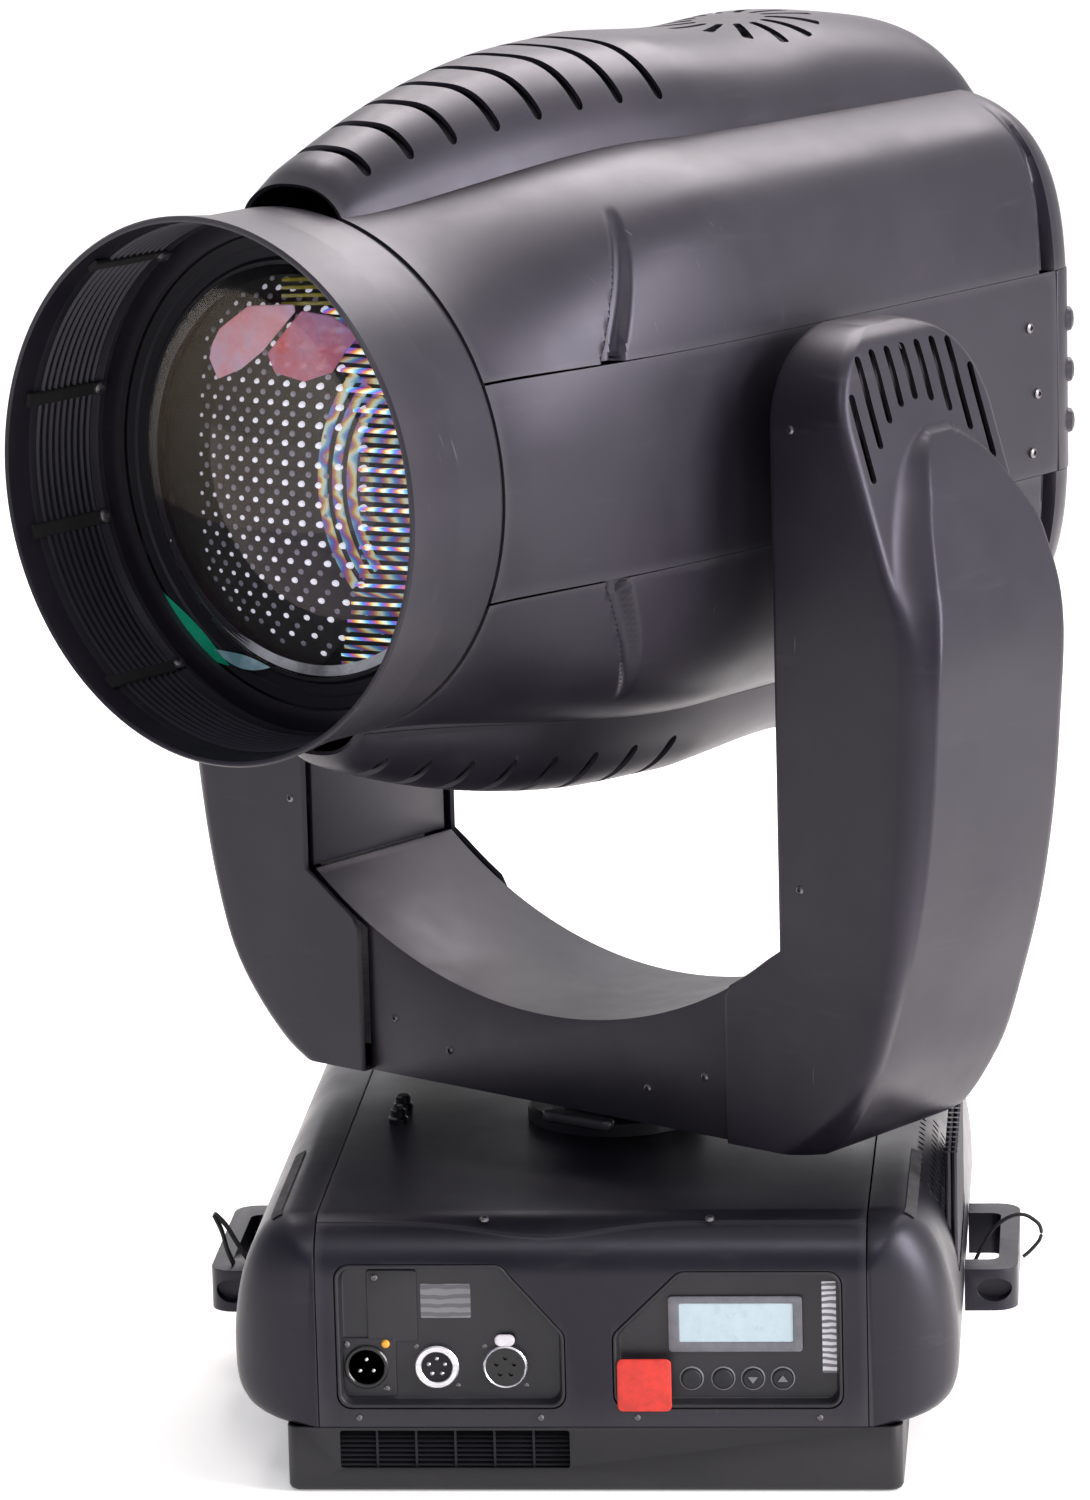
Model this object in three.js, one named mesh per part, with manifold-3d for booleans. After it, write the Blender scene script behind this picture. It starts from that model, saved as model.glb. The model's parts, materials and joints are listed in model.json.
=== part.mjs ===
// Moving head stage light: a base, a yoke that pans on it, and a head that tilts in the yoke.
// Millimetres, +Z up. The origin is on the pan axis at the underside of the base, and the
// base's control panels face -Y. The yoke group is turned about +Z to its stored pan angle.
// Inside the yoke and head groups the front is -y and +x is the right-hand arm.

import * as THREE from 'three';
import { mergeVertices } from 'three/addons/utils/BufferGeometryUtils.js';
import Module from 'manifold-3d';

const wasm = await Module();
wasm.setup();

// ---------------------------------------------------------------- driving dimensions

const GAP = 0.3;                 // running clearance left between neighbouring pieces
const WALL = 3;                  // moulded cover wall

const BASE = {
  halfWidth: 166,                // pressed steel tray
  halfDepth: 222,
  trayHeight: 36,
  sheet: 2.5,
  top: 149,                      // moulded covers
  seam: 148,                     // half-width of the centre cover
  edgeRadius: 30,                // front and rear top edge
  sideReach: 196,                // widest point of the side covers
  sideMiddle: 75,                // height of that widest point
  cornerRadius: 35,              // side covers in plan
};

const PANEL = { front: -221, floor: -214, back: -212, rim: 2.5 };

const YOKE = {
  panAngle: -35.6,               // stored pan angle, degrees about +Z
  innerFace: 170.5,              // half the gap between the arms
  halfDepth: 65,
  bottom: 168,
  top: 617,
  topRadius: 52,
  cornerRadius: 9,               // outer edges of the arms
  saddleCentre: 483,             // height of the centre of the crossbar's round top
  saddleRadius: 263.4,
  saddleEnd: 281,                // where that round top meets the arms
  crossbarHalfDepth: 59,
  seam: 131.7,                   // arm cover to crossbar cover
  plateInner: 178,               // inner face of the steel arm plates
  plate: 6,
  frameHalfDepth: 45,
};

const TILT_HEIGHT = 554.6;

const HEAD = {
  hoodFront: -321.5,
  hoodBack: -246,
  hoodFrontRadius: 144.5,
  hoodBackRadius: 139.5,
  hoodWall: 4,
  bandHalfHeight: 57,
  rear: 250,
  rearRadius: 26,
  halfWidth: 148,
  halfHeight: 158,
  lensRadius: 110,
  lensPlane: -240,
};

const HUB = { discRadius: 50, discTop: 158, tubeOuter: 28, tubeInner: 20, tubeTop: 204 };
const PULLEY = { large: 45, small: 9, width: 10, belt: 3 };
const PAN_MOTOR = { x: -110, pulleyBottom: 184, bodyBottom: 200, bodyTop: 228, radius: 22 };
const TILT_MOTOR = { z: 430, pulleyInner: 190, bodyInner: 204, bodyOuter: 245, radius: 24 };

// ---------------------------------------------------------------- materials

const finish = (color, roughness, metalness) => ({ color, roughness, metalness });

const FINISH = {
  blackPlastic: finish(0x1b1a1e, 0.5, 0.0),
  blackPaint: finish(0x232127, 0.55, 0.3),
  steel: finish(0x8d8f94, 0.35, 0.9),
  aluminium: finish(0xb4b7bb, 0.4, 0.85),
  rubber: finish(0x161616, 0.85, 0.0),
  board: finish(0x1d4a2e, 0.6, 0.1),
  glass: finish(0xcfe0e6, 0.05, 0.0),
  panel: finish(0x2b292d, 0.6, 0.1),
  bezel: finish(0x8e9093, 0.45, 0.1),
  whitePlastic: finish(0xe9e6ea, 0.4, 0.0),
  coloured: finish(0x6e4f9c, 0.15, 0.2),
};

// ---------------------------------------------------------------- shape helpers

function asSolid(geometry) {
  const bare = geometry.clone();
  bare.deleteAttribute('normal');
  bare.deleteAttribute('uv');
  const merged = mergeVertices(bare, 1e-4);
  return new wasm.Manifold(new wasm.Mesh({
    numProp: 3,
    vertProperties: new Float32Array(merged.attributes.position.array),
    triVerts: new Uint32Array(merged.index.array),
  }));
}

function asGeometry(solid) {
  const mesh = solid.getMesh();
  const geometry = new THREE.BufferGeometry();
  geometry.setAttribute('position', new THREE.BufferAttribute(mesh.vertProperties, 3));
  geometry.setIndex(new THREE.BufferAttribute(mesh.triVerts, 1));
  return geometry;
}

const join = (...solids) => solids.reduce((whole, next) => whole.add(next));
const cut = (solid, ...tools) => tools.reduce((left, tool) => left.subtract(tool), solid);

function block(x0, x1, y0, y1, z0, z1) {
  const geometry = new THREE.BoxGeometry(x1 - x0, y1 - y0, z1 - z0);
  geometry.translate((x0 + x1) / 2, (y0 + y1) / 2, (z0 + z1) / 2);
  return asSolid(geometry);
}

// A round bar along one axis, from a to b, centred on the other two coordinates.
function bar(axis, radius, a, b, centre = [0, 0], sides = 16) {
  const geometry = new THREE.CylinderGeometry(radius, radius, b - a, sides);
  const middle = (a + b) / 2;
  if (axis === 'x') {
    geometry.rotateZ(-Math.PI / 2);
    geometry.translate(middle, centre[0], centre[1]);
  } else if (axis === 'y') {
    geometry.translate(centre[0], middle, centre[1]);
  } else {
    geometry.rotateX(Math.PI / 2);
    geometry.translate(centre[0], centre[1], middle);
  }
  return asSolid(geometry);
}

const tube = (axis, outer, inner, a, b, centre = [0, 0], sides = 20) =>
  cut(bar(axis, outer, a, b, centre, sides), bar(axis, inner, a - 1, b + 1, centre, sides));

// A flat outline pushed along one axis from a to b. The outline's two coordinates are the
// remaining axes in the order x, y, z.
function prism(axis, outline, a, b) {
  const shape = new THREE.Shape(outline.map(([u, v]) => new THREE.Vector2(u, v)));
  const geometry = new THREE.ExtrudeGeometry(shape, { depth: b - a, bevelEnabled: false });
  if (axis === 'x') {
    geometry.applyMatrix4(new THREE.Matrix4().set(
      0, 0, 1, a, 1, 0, 0, 0, 0, 1, 0, 0, 0, 0, 0, 1));
  } else if (axis === 'y') {
    geometry.applyMatrix4(new THREE.Matrix4().set(
      1, 0, 0, 0, 0, 0, -1, b, 0, 1, 0, 0, 0, 0, 0, 1));
  } else {
    geometry.translate(0, 0, a);
  }
  return asSolid(geometry);
}

// A solid through a row of closed rings that all hold the same number of points.
function loft(rings) {
  const count = rings[0].length;
  const positions = rings.flat(2);
  const index = [];
  for (let r = 0; r < rings.length - 1; r += 1) {
    for (let i = 0; i < count; i += 1) {
      const next = (i + 1) % count;
      const a = r * count + i;
      const b = r * count + next;
      const c = a + count;
      const d = b + count;
      index.push(a, b, d, a, d, c);
    }
  }
  const addCap = (ring, first, flip) => {
    const middle = positions.length / 3;
    const sum = ring.reduce((total, p) => total.map((v, k) => v + p[k]), [0, 0, 0]);
    positions.push(...sum.map((v) => v / count));
    for (let i = 0; i < count; i += 1) {
      const a = first + i;
      const b = first + ((i + 1) % count);
      index.push(...(flip ? [middle, b, a] : [middle, a, b]));
    }
  };
  addCap(rings[0], 0, true);
  addCap(rings[rings.length - 1], (rings.length - 1) * count, false);
  const geometry = new THREE.BufferGeometry();
  geometry.setAttribute('position', new THREE.Float32BufferAttribute(positions, 3));
  geometry.setIndex(index);
  const solid = asSolid(geometry);
  if (solid.volume() > 0) return solid;
  const flipped = [];
  for (let i = 0; i < index.length; i += 3) flipped.push(index[i], index[i + 2], index[i + 1]);
  geometry.setIndex(flipped);
  return asSolid(geometry);
}

// A turned piece about the x or y axis: pairs of [distance along the axis, radius].
function turned(axis, profile, centre = [0, 0], sides = 24) {
  const points = profile.map(([along, radius]) => new THREE.Vector2(radius, along));
  const geometry = new THREE.LatheGeometry([...points, points[0]], sides);
  if (axis === 'x') {
    geometry.rotateZ(-Math.PI / 2);
    geometry.translate(0, centre[0], centre[1]);
  } else if (axis === 'z') {
    geometry.rotateX(Math.PI / 2);
    geometry.translate(centre[0], centre[1], 0);
  } else {
    geometry.translate(centre[0], 0, centre[1]);
  }
  const solid = asSolid(geometry);
  if (solid.volume() > 0) return solid;
  const index = geometry.index.array;
  for (let i = 0; i < index.length; i += 3) [index[i], index[i + 1]] = [index[i + 1], index[i]];
  return asSolid(geometry);
}

function arc(cx, cy, radius, fromDeg, toDeg, steps) {
  return Array.from({ length: steps + 1 }, (_, i) => {
    const a = THREE.MathUtils.degToRad(fromDeg + (toDeg - fromDeg) * i / steps);
    return [cx + radius * Math.cos(a), cy + radius * Math.sin(a)];
  });
}

const mirrorX = (outline) => outline.map(([x, v]) => [-x, v]).reverse();

// Straight-line interpolation in a table of [position, value] pairs.
function along(table, at) {
  const last = table.length - 1;
  if (at <= table[0][0]) return table[0][1];
  if (at >= table[last][0]) return table[last][1];
  const i = table.findIndex(([position]) => position >= at);
  const [p0, v0] = table[i - 1];
  const [p1, v1] = table[i];
  return v0 + (v1 - v0) * (at - p0) / (p1 - p0);
}

function part(group, name, material, solid) {
  const mesh = new THREE.Mesh(asGeometry(solid), new THREE.MeshStandardMaterial(material));
  mesh.name = name;
  group.add(mesh);
}

// ---------------------------------------------------------------- base

function topEdgeHeight(y) {
  const into = Math.abs(y) - (BASE.halfDepth - BASE.edgeRadius);
  if (into <= 0) return BASE.top;
  const drop = BASE.edgeRadius - Math.sqrt(Math.max(0, BASE.edgeRadius ** 2 - into ** 2));
  return BASE.top - drop;
}

function baseTray() {
  const { halfWidth: w, halfDepth: d, trayHeight: h, sheet: s } = BASE;
  return cut(
    block(-w, w, -d, d, 0, h),
    block(-w + s, w - s, -d + s, d - s, s, h + 1),
    block(-137, -13, -d - 1, -d + s + 1, 13, 33),
    bar('y', 11, d - s - 1, d + 1, [90, 20]),
  );
}

function intakeGrille() {
  const front = -BASE.halfDepth + BASE.sheet + GAP;
  const slots = [14, 19, 24, 29].map((z) => block(-134, -16, front - 1, front + 3, z, z + 2.5));
  return cut(block(-139, -11, front, front + 2, 11, 35), ...slots);
}

function centreCoverOutline(offset) {
  const d = BASE.halfDepth - offset;
  const r = BASE.edgeRadius - offset;
  const foot = BASE.trayHeight + GAP - (offset > 0 ? 5 : 0);
  const top = BASE.top - offset;
  return [
    [-d, foot], [d, foot],
    ...arc(d - r, top - r, r, 0, 90, 5),
    ...arc(r - d, top - r, r, 90, 180, 5),
  ];
}

// The recesses for the two panels, drawn looking at the front: one upper corner is cut off.
const connectorOutline = (inset) => [
  [-138 + inset, 46 + inset], [-14 - inset, 46 + inset], [-14 - inset, 88 - inset * 0.4],
  [-48 - inset * 0.4, 127 - inset], [-138 + inset, 127 - inset],
];
const displayOutline = (inset) => [
  [11 + inset, 46 + inset], [135 - inset, 46 + inset], [135 - inset, 123 - inset],
  [47 + inset * 0.4, 123 - inset], [11 + inset, 88 - inset * 0.4],
];

function centreCover() {
  const half = BASE.seam - GAP;
  return cut(
    prism('x', centreCoverOutline(0), -half, half),
    prism('x', centreCoverOutline(WALL), -half - 1, half + 1),
    prism('y', connectorOutline(0), -230, -200),
    prism('y', displayOutline(0), -230, -200),
    bar('z', 48, 120, 160, [0, 0], 24),
  );
}

function sideCoverRing(y, side, offset) {
  const { seam, sideReach, sideMiddle: zm, cornerRadius: r, halfDepth, trayHeight } = BASE;
  const into = Math.min(Math.abs(y) - (halfDepth - r), r * 0.985);
  const fullness = into > 0 ? Math.sqrt(1 - (into / r) ** 2) : 1;
  const reach = (sideReach - seam) * fullness - offset;
  const top = topEdgeHeight(y) - offset;
  const bottom = trayHeight + GAP + offset;
  const open = seam + GAP - (offset > 0 ? 5 : 0);
  const shoulder = 0.3;
  const bulge = (steps, fromDeg, toDeg, height, power) => arc(0, 0, 1, fromDeg, toDeg, steps)
    .map(([c, s]) => [
      seam + reach * (shoulder + (1 - shoulder) * Math.abs(c) ** power),
      zm + Math.sign(s) * height * Math.abs(s) ** power,
    ]);
  const points = [
    [open, bottom],
    ...bulge(5, -90, 0, zm - bottom, 0.6),
    ...bulge(6, 0, 90, top - zm, 1).slice(1),
    [open, top],
  ];
  return points.map(([x, z]) => [side * x, y, z]);
}

function sideCover(side) {
  const { halfDepth: d } = BASE;
  const stations = (end) => [end, 216, 208, 196, 170, 60, -60, -170, -196, -208, -216, -end];
  const outer = loft(stations(d - GAP).map((y) => sideCoverRing(y, side, 0)));
  const inner = loft(stations(217).filter((y, i, list) => i === 0 || Math.abs(y) < 217
    || i === list.length - 1).map((y) => sideCoverRing(y, side, WALL)));
  return cut(outer, inner);
}

function panelTray(outline, holes) {
  const tray = cut(
    prism('y', outline(GAP), PANEL.front, PANEL.back),
    prism('y', outline(PANEL.rim + GAP), PANEL.front - 1, PANEL.floor),
  );
  return cut(tray, ...holes);
}

const CONNECTORS = [-122, -84, -47];
const CONNECTOR_HEIGHT = 68;
const BUTTONS = [53, 70, 86, 102];
const BUTTON_HEIGHT = 61;
const through = (radius, x, z) => bar('y', radius, -220, -205, [x, z], 16);

const connectorPanel = () =>
  panelTray(connectorOutline, CONNECTORS.map((x) => through(12 + GAP, x, CONNECTOR_HEIGHT)));

const displayPanel = () =>
  panelTray(displayOutline, BUTTONS.map((x) => through(6.6, x, BUTTON_HEIGHT)));

function connectorShell(x) {
  const centre = [x, CONNECTOR_HEIGHT];
  return cut(bar('y', 12, -217.5, -196, centre), bar('y', 10.4, -219, -201, centre));
}

const releaseTab = () => block(-51.5, -42.5, -217.4, -215.6, 80.6, 85.6);

// The display is one module: a frame with its window sunk into the front.
const displayModule = () => cut(
  block(41, 113, -216.4, PANEL.floor - GAP, 76, 107),
  block(47, 108, -218, -215.6, 82, 103),
);

const menuButton = (x) => bar('y', 6, -216.6, -209, [x, BUTTON_HEIGHT], 20);

const HANDLE = { inner: 196.4, outer: 226, halfLength: 66, bottom: 53, top: 77, end: 20, grip: 11 };

function handle(side) {
  const h = HANDLE;
  const outline = [
    [h.inner, -h.halfLength], [h.outer - 14, -h.halfLength], [h.outer, -h.halfLength + 16],
    [h.outer, h.halfLength - 16], [h.outer - 14, h.halfLength], [h.inner, h.halfLength],
    [h.inner, h.halfLength - h.end], [h.outer - h.grip, h.halfLength - h.end],
    [h.outer - h.grip, -h.halfLength + h.end], [h.inner, -h.halfLength + h.end],
  ];
  return prism('z', side > 0 ? outline : mirrorX(outline), h.bottom, h.top);
}

// A stiff wire loop hung over the right handle's grip: the points that its middle line follows.
const TETHER_WIRE = 1.1;
const TETHER = [
  [228, -5, 66], [231.2, -4.4, 68.5], [234.6, -4, 72], [237.5, -4, 75.8], [238.5, -4, 80],
  [237.5, -3.6, 84.2], [234.6, -3, 87], [230.2, -2.5, 89.6], [225, -2, 90], [219, -1, 87.5],
  [213.4, 0, 83], [209.3, 0.6, 77.8], [206, 1, 72], [203.3, 1.5, 66.8], [201, 2, 62],
];

function tetherLoop() {
  const points = TETHER.map((point) => new THREE.Vector3(...point));
  const circle = arc(0, 0, TETHER_WIRE, 0, 315, 7).map(([u, v]) => new THREE.Vector2(u, v));
  return asSolid(new THREE.ExtrudeGeometry(new THREE.Shape(circle), {
    steps: 28,
    curveSegments: 1,
    extrudePath: new THREE.CatmullRomCurve3(points, false, 'catmullrom', 0.5),
  }));
}

function panHub() {
  const h = HUB;
  const floor = BASE.sheet + GAP;
  const profile = [
    [floor, 40], [floor, 46], [BASE.top + GAP, 46], [BASE.top + GAP, h.discRadius],
    [h.discTop, h.discRadius], [h.discTop, h.tubeOuter], [h.tubeTop, h.tubeOuter],
    [h.tubeTop, h.tubeInner], [h.discTop - 6, h.tubeInner], [h.discTop - 6, 40],
  ];
  return turned('z', profile);
}

const panPulley = () => tube('z', PULLEY.large, HUB.tubeOuter + GAP,
  PAN_MOTOR.pulleyBottom, PAN_MOTOR.pulleyBottom + PULLEY.width, [0, 0], 24);

const cableGland = () => cut(
  join(
    bar('y', 10.6, 210, 224, [90, 20]),
    bar('y', 15, BASE.halfDepth + GAP, 236, [90, 20], 6),
  ),
  bar('y', 5.5, 205, 240, [90, 20], 12),
);

function buildBase(base) {
  part(base, 'base_chassis', FINISH.blackPaint, baseTray());
  part(base, 'air_intake_grille', FINISH.blackPaint, intakeGrille());
  part(base, 'base_centre_cover', FINISH.blackPlastic, centreCover());
  part(base, 'base_side_cover_left', FINISH.blackPlastic, sideCover(-1));
  part(base, 'base_side_cover_right', FINISH.blackPlastic, sideCover(1));
  part(base, 'connector_panel', FINISH.panel, connectorPanel());
  part(base, 'display_panel', FINISH.panel, displayPanel());
  part(base, 'display_module', FINISH.bezel, displayModule());
  const connectorNames = ['aux_connector', 'data_input_connector', 'data_output_connector'];
  connectorNames.forEach((name, i) => {
    part(base, name, FINISH.steel, connectorShell(CONNECTORS[i]));
  });
  part(base, 'connector_release_tab', FINISH.whitePlastic, releaseTab());
  BUTTONS.forEach((x, i) => part(base, `menu_button_${i + 1}`, FINISH.rubber, menuButton(x)));
  part(base, 'handle_left', FINISH.blackPlastic, handle(-1));
  part(base, 'handle_right', FINISH.blackPlastic, handle(1));
  part(base, 'handle_tether_loop', FINISH.rubber, tetherLoop());
  part(base, 'power_supply', FINISH.aluminium, block(-135, -62, -150, 150, 8, 118));
  part(base, 'control_board', FINISH.board, block(78, 80, -160, 120, 14, 118));
  part(base, 'pan_hub', FINISH.blackPaint, panHub());
  part(base, 'pan_pulley', FINISH.aluminium, panPulley());
  part(base, 'mains_cable_gland', FINISH.rubber, cableGland());
}

// ---------------------------------------------------------------- yoke

// Outer side of an arm by height: the edge of its front face, and the crown of the bulge that
// grows out of its flat, leaning upper face.
const ARM_EDGE = [
  [168, 176], [178, 192], [196, 212], [219, 230], [242, 240.5], [282, 249.5], [336, 255.5],
  [375, 258], [430, 259], [472, 255.5], [496, 246.5], [520, 238.3], [576, 220], [600, 212.3],
  [611, 207], [617, 198],
];
const ARM_CROWN = [
  [168, 190], [172, 197], [178, 204], [196, 217], [219, 230], [250, 241], [294, 254], [341, 263],
  [386, 268], [441, 271], [472, 268], [497, 259.5], [521, 249], [546, 238], [562, 228],
  [576, 220], [600, 212.3], [611, 207], [617, 198],
];
const BULGE = { middle: 8, half: 80, low: 413, height: 149, frontFlank: 20, rearFlank: 8 };

const saddleHeight = (x) =>
  YOKE.saddleCentre - Math.sqrt(YOKE.saddleRadius ** 2 - x ** 2);

function armHalfDepth(z, offset) {
  const top = YOKE.top - offset;
  const r = YOKE.topRadius - offset;
  const into = z - (top - r);
  const half = YOKE.halfDepth - offset;
  return into <= 0 ? half : half - r + Math.sqrt(Math.max(0, r ** 2 - into ** 2));
}

// How far out an arm reaches. The bulge ends in a round arch below the arm's top.
function armOuter(y, z) {
  const { clamp } = THREE.MathUtils;
  const edge = along(ARM_EDGE, z);
  const half = BULGE.half * Math.sqrt(1 - clamp((z - BULGE.low) / BULGE.height, 0, 1) ** 2);
  const narrow = clamp(half / 50, 0.02, 1);
  const front = (y - BULGE.middle + half) / (BULGE.frontFlank * narrow);
  const rear = (BULGE.middle + half - y) / (BULGE.rearFlank * narrow);
  return edge + (along(ARM_CROWN, z) - edge) * clamp(Math.min(front, rear), 0, 1) ** 1.6;
}

// The section of an arm at one height: square to the inside, with small round outer edges.
function armRing(z, side, inner, offset) {
  const half = armHalfDepth(z, offset);
  const r = Math.min(YOKE.cornerRadius, half * 0.5) - offset;
  const corner = arc(half - r, 0, r, 0, 60, 2).map(([depth, height]) => [depth, r - height]);
  const middle = [-1, -0.9, -0.75, -0.55, -0.3, 0, 0.3, 0.55, 0.75, 0.9, 1];
  const outerSide = [
    ...corner.map(([depth, lost]) => [-depth, lost]),
    ...middle.map((share) => [share * (half - r), 0]),
    ...[...corner].reverse(),
  ].map(([y, lost]) => [armOuter(y, z) - offset - lost, y]);
  return [[inner, -half], ...outerSide, [inner, half]].map(([x, y]) => [side * x, y, z]);
}

// Everything above the saddle and inside the gap between the arms, as a cutting tool.
function saddleTool(clearance, halfDepth) {
  const reach = YOKE.innerFace - clearance;
  const r = YOKE.saddleRadius + clearance;
  const half = THREE.MathUtils.radToDeg(Math.asin((reach - 1) / r));
  const outline = [
    ...arc(0, YOKE.saddleCentre, r, -90 - half, -90 + half, 20),
    [reach, YOKE.saddleEnd], [reach, 700], [-reach, 700], [-reach, YOKE.saddleEnd],
  ];
  return prism('y', outline, -halfDepth, halfDepth);
}

function armCover(side) {
  const shared = [
    178, 196, 219, 250, 294, 341, 386, 413, 441, 472, 497, 521, 546, 562, 576, 590, 602,
  ];
  const outer = loft([168, 172, ...shared, 611, 616.4].map((z) => armRing(z, side, YOKE.seam, 0)));
  const hollow = loft([171, ...shared, 613].map((z) => armRing(z, side, YOKE.seam - 20, WALL)));
  return cut(outer, hollow, saddleTool(0, 80));
}

function armInnerCover(side) {
  const half = 57;
  const r = 44;
  const top = YOKE.top - 8;
  const outline = [
    [-half, YOKE.saddleEnd + GAP], [half, YOKE.saddleEnd + GAP],
    ...arc(half - r, top - r, r, 0, 90, 5), ...arc(r - half, top - r, r, 90, 180, 5),
  ];
  const inner = YOKE.innerFace + 2;
  const plate = prism('x', outline, inner, inner + 2.5);
  const solid = cut(plate, bar('x', 31, inner - 5, inner + 8, [0, TILT_HEIGHT]));
  return side > 0 ? solid : solid.mirror([1, 0, 0]);
}

function crossbarCover() {
  const { crossbarHalfDepth: d, seam, bottom, saddleCentre, saddleRadius } = YOKE;
  const end = YOKE.innerFace - 1.5;
  const endAngle = THREE.MathUtils.radToDeg(Math.asin(end / saddleRadius));
  const seamHeight = saddleHeight(seam - GAP) - 4;
  const lip = (sign) => arc(0, saddleCentre, saddleRadius + WALL + GAP,
    -90 + sign * 29.5, -90 + sign * endAngle, 4);
  const outline = [
    [-seam + GAP, bottom], [seam - GAP, bottom], [seam - GAP, seamHeight],
    ...lip(1), ...arc(0, saddleCentre, saddleRadius + GAP, -90 + endAngle, -90 - endAngle, 24),
    ...lip(-1).reverse(), [-seam + GAP, seamHeight],
  ];
  const hollow = [
    [-seam - 5, bottom - 5], [seam + 5, bottom - 5],
    [seam + 5, saddleHeight(seam) - 6],
    ...arc(0, saddleCentre, saddleRadius + WALL + GAP, -90 + 29, -90 - 29, 16),
    [-seam - 5, saddleHeight(seam) - 6],
  ];
  return cut(prism('y', outline, -d, d), prism('y', hollow, WALL - d, d - WALL));
}

function yokeFrame() {
  const { plateInner: a, plate: t, frameHalfDepth: d } = YOKE;
  const floor = 172;
  const top = 590;
  const outline = [
    [-a - t, floor], [a + t, floor], [a + t, top], [a, top],
    [a, floor + t], [-a, floor + t], [-a, top], [-a - t, top],
  ];
  const reach = a + t + 5;
  return cut(
    prism('y', outline, -d, d),
    bar('z', 40, floor - 5, floor + t + 5, [0, 0], 24),
    bar('x', 24, -reach, reach, [0, TILT_HEIGHT], 24),
  );
}

const panBearing = () => tube('z', 39.5, HUB.tubeOuter + GAP, 169, 180, [0, 0], 24);

function tiltBearing(side) {
  const inner = YOKE.plateInner - 1;
  const ring = tube('x', 23.6, 14.4, inner, inner + YOKE.plate + 2, [0, TILT_HEIGHT], 24);
  return side > 0 ? ring : ring.mirror([1, 0, 0]);
}

// A belt lies round two pulleys: two arcs joined by their common tangents.
function beltOutline(large, small, distance, spread) {
  const lean = THREE.MathUtils.radToDeg(Math.acos((large - small) / distance));
  return [
    ...arc(0, 0, large + spread, lean, 360 - lean, 20),
    ...arc(distance, 0, small + spread, -lean, lean, 5),
  ];
}

function belt(distance) {
  const { large, small, width, belt: thick } = PULLEY;
  return cut(
    prism('z', beltOutline(large, small, distance, thick), 0, width - 2),
    prism('z', beltOutline(large, small, distance, GAP), -1, width + 1),
  );
}

const panBelt = () =>
  belt(-PAN_MOTOR.x).rotate([0, 0, 180]).translate([0, 0, PAN_MOTOR.pulleyBottom + 1]);

const tiltBelt = () =>
  belt(TILT_HEIGHT - TILT_MOTOR.z).rotate([0, 90, 0])
    .translate([TILT_MOTOR.pulleyInner + 1, 0, TILT_HEIGHT]);

function panMotor() {
  const m = PAN_MOTOR;
  const feet = [[-17, -17], [-17, 17], [10, -24], [10, 24]].map(([dx, dy]) =>
    bar('z', 3, YOKE.bottom + 10 + GAP, m.bodyBottom + 4, [m.x + dx, dy], 8));
  return join(
    bar('z', m.radius, m.bodyBottom, m.bodyTop, [m.x, 0]),
    block(m.x - 21, m.x + 14, -27, 27, m.bodyBottom, m.bodyBottom + 4),
    bar('z', 3, m.pulleyBottom, m.bodyBottom + 1, [m.x, 0], 12),
    ...feet,
  );
}

function tiltMotor() {
  const m = TILT_MOTOR;
  const outerFace = YOKE.plateInner + YOKE.plate + GAP;
  const feet = [[-27, -18], [27, -18], [-27, 10], [27, 10]].map(([dy, dz]) =>
    bar('x', 3, outerFace, m.bodyInner + 4, [dy, m.z + dz], 8));
  return join(
    bar('x', m.radius, m.bodyInner, m.bodyOuter, [0, m.z]),
    block(m.bodyInner, m.bodyInner + 4, -31, 31, m.z - 22, m.z + 14),
    bar('x', 3, m.pulleyInner, m.bodyInner + 1, [0, m.z], 12),
    ...feet,
  );
}

const panMotorPulley = () => tube('z', PULLEY.small, 3 + GAP, PAN_MOTOR.pulleyBottom,
  PAN_MOTOR.pulleyBottom + PULLEY.width, [PAN_MOTOR.x, 0], 20);

const tiltMotorPulley = () => tube('x', PULLEY.small, 3 + GAP, TILT_MOTOR.pulleyInner,
  TILT_MOTOR.pulleyInner + PULLEY.width, [0, TILT_MOTOR.z], 20);

// The lever that locks the pan axis sits under the front edge of the crossbar.
function panLockLever() {
  const arm = [
    ...arc(0, 0, 8, 60, 300, 6), ...arc(34, 0, 5.5, -80, 80, 4),
  ].map(([x, y]) => [x + 8, y - 61]);
  return prism('z', arm, 160.5, 166.5);
}

function buildYoke(yoke) {
  part(yoke, 'yoke_frame', FINISH.steel, yokeFrame());
  part(yoke, 'pan_bearing', FINISH.steel, panBearing());
  part(yoke, 'crossbar_cover', FINISH.blackPlastic, crossbarCover());
  for (const [label, side] of [['left', -1], ['right', 1]]) {
    part(yoke, `arm_cover_${label}`, FINISH.blackPlastic, armCover(side));
    part(yoke, `arm_inner_cover_${label}`, FINISH.blackPlastic, armInnerCover(side));
    part(yoke, `tilt_bearing_${label}`, FINISH.steel, tiltBearing(side));
  }
  part(yoke, 'pan_motor', FINISH.steel, panMotor());
  part(yoke, 'pan_motor_pulley', FINISH.aluminium, panMotorPulley());
  part(yoke, 'pan_belt', FINISH.rubber, panBelt());
  part(yoke, 'tilt_motor', FINISH.steel, tiltMotor());
  part(yoke, 'tilt_motor_pulley', FINISH.aluminium, tiltMotorPulley());
  part(yoke, 'tilt_belt', FINISH.rubber, tiltBelt());
  part(yoke, 'pan_lock_lever', FINISH.blackPaint, panLockLever());
}

// ---------------------------------------------------------------- head

// Crest of the raised spine above the tilt axis, along the head.
const CREST = [
  [-246, 152], [-233, 162], [-160, 186], [-78, 201.5], [6, 205.5], [84, 200], [147, 202],
  [205, 196], [232, 187], [250, 166],
];
const SPINE_HALF_WIDTH = [[-246, 34], [-120, 58], [6, 77], [250, 82]];

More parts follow.
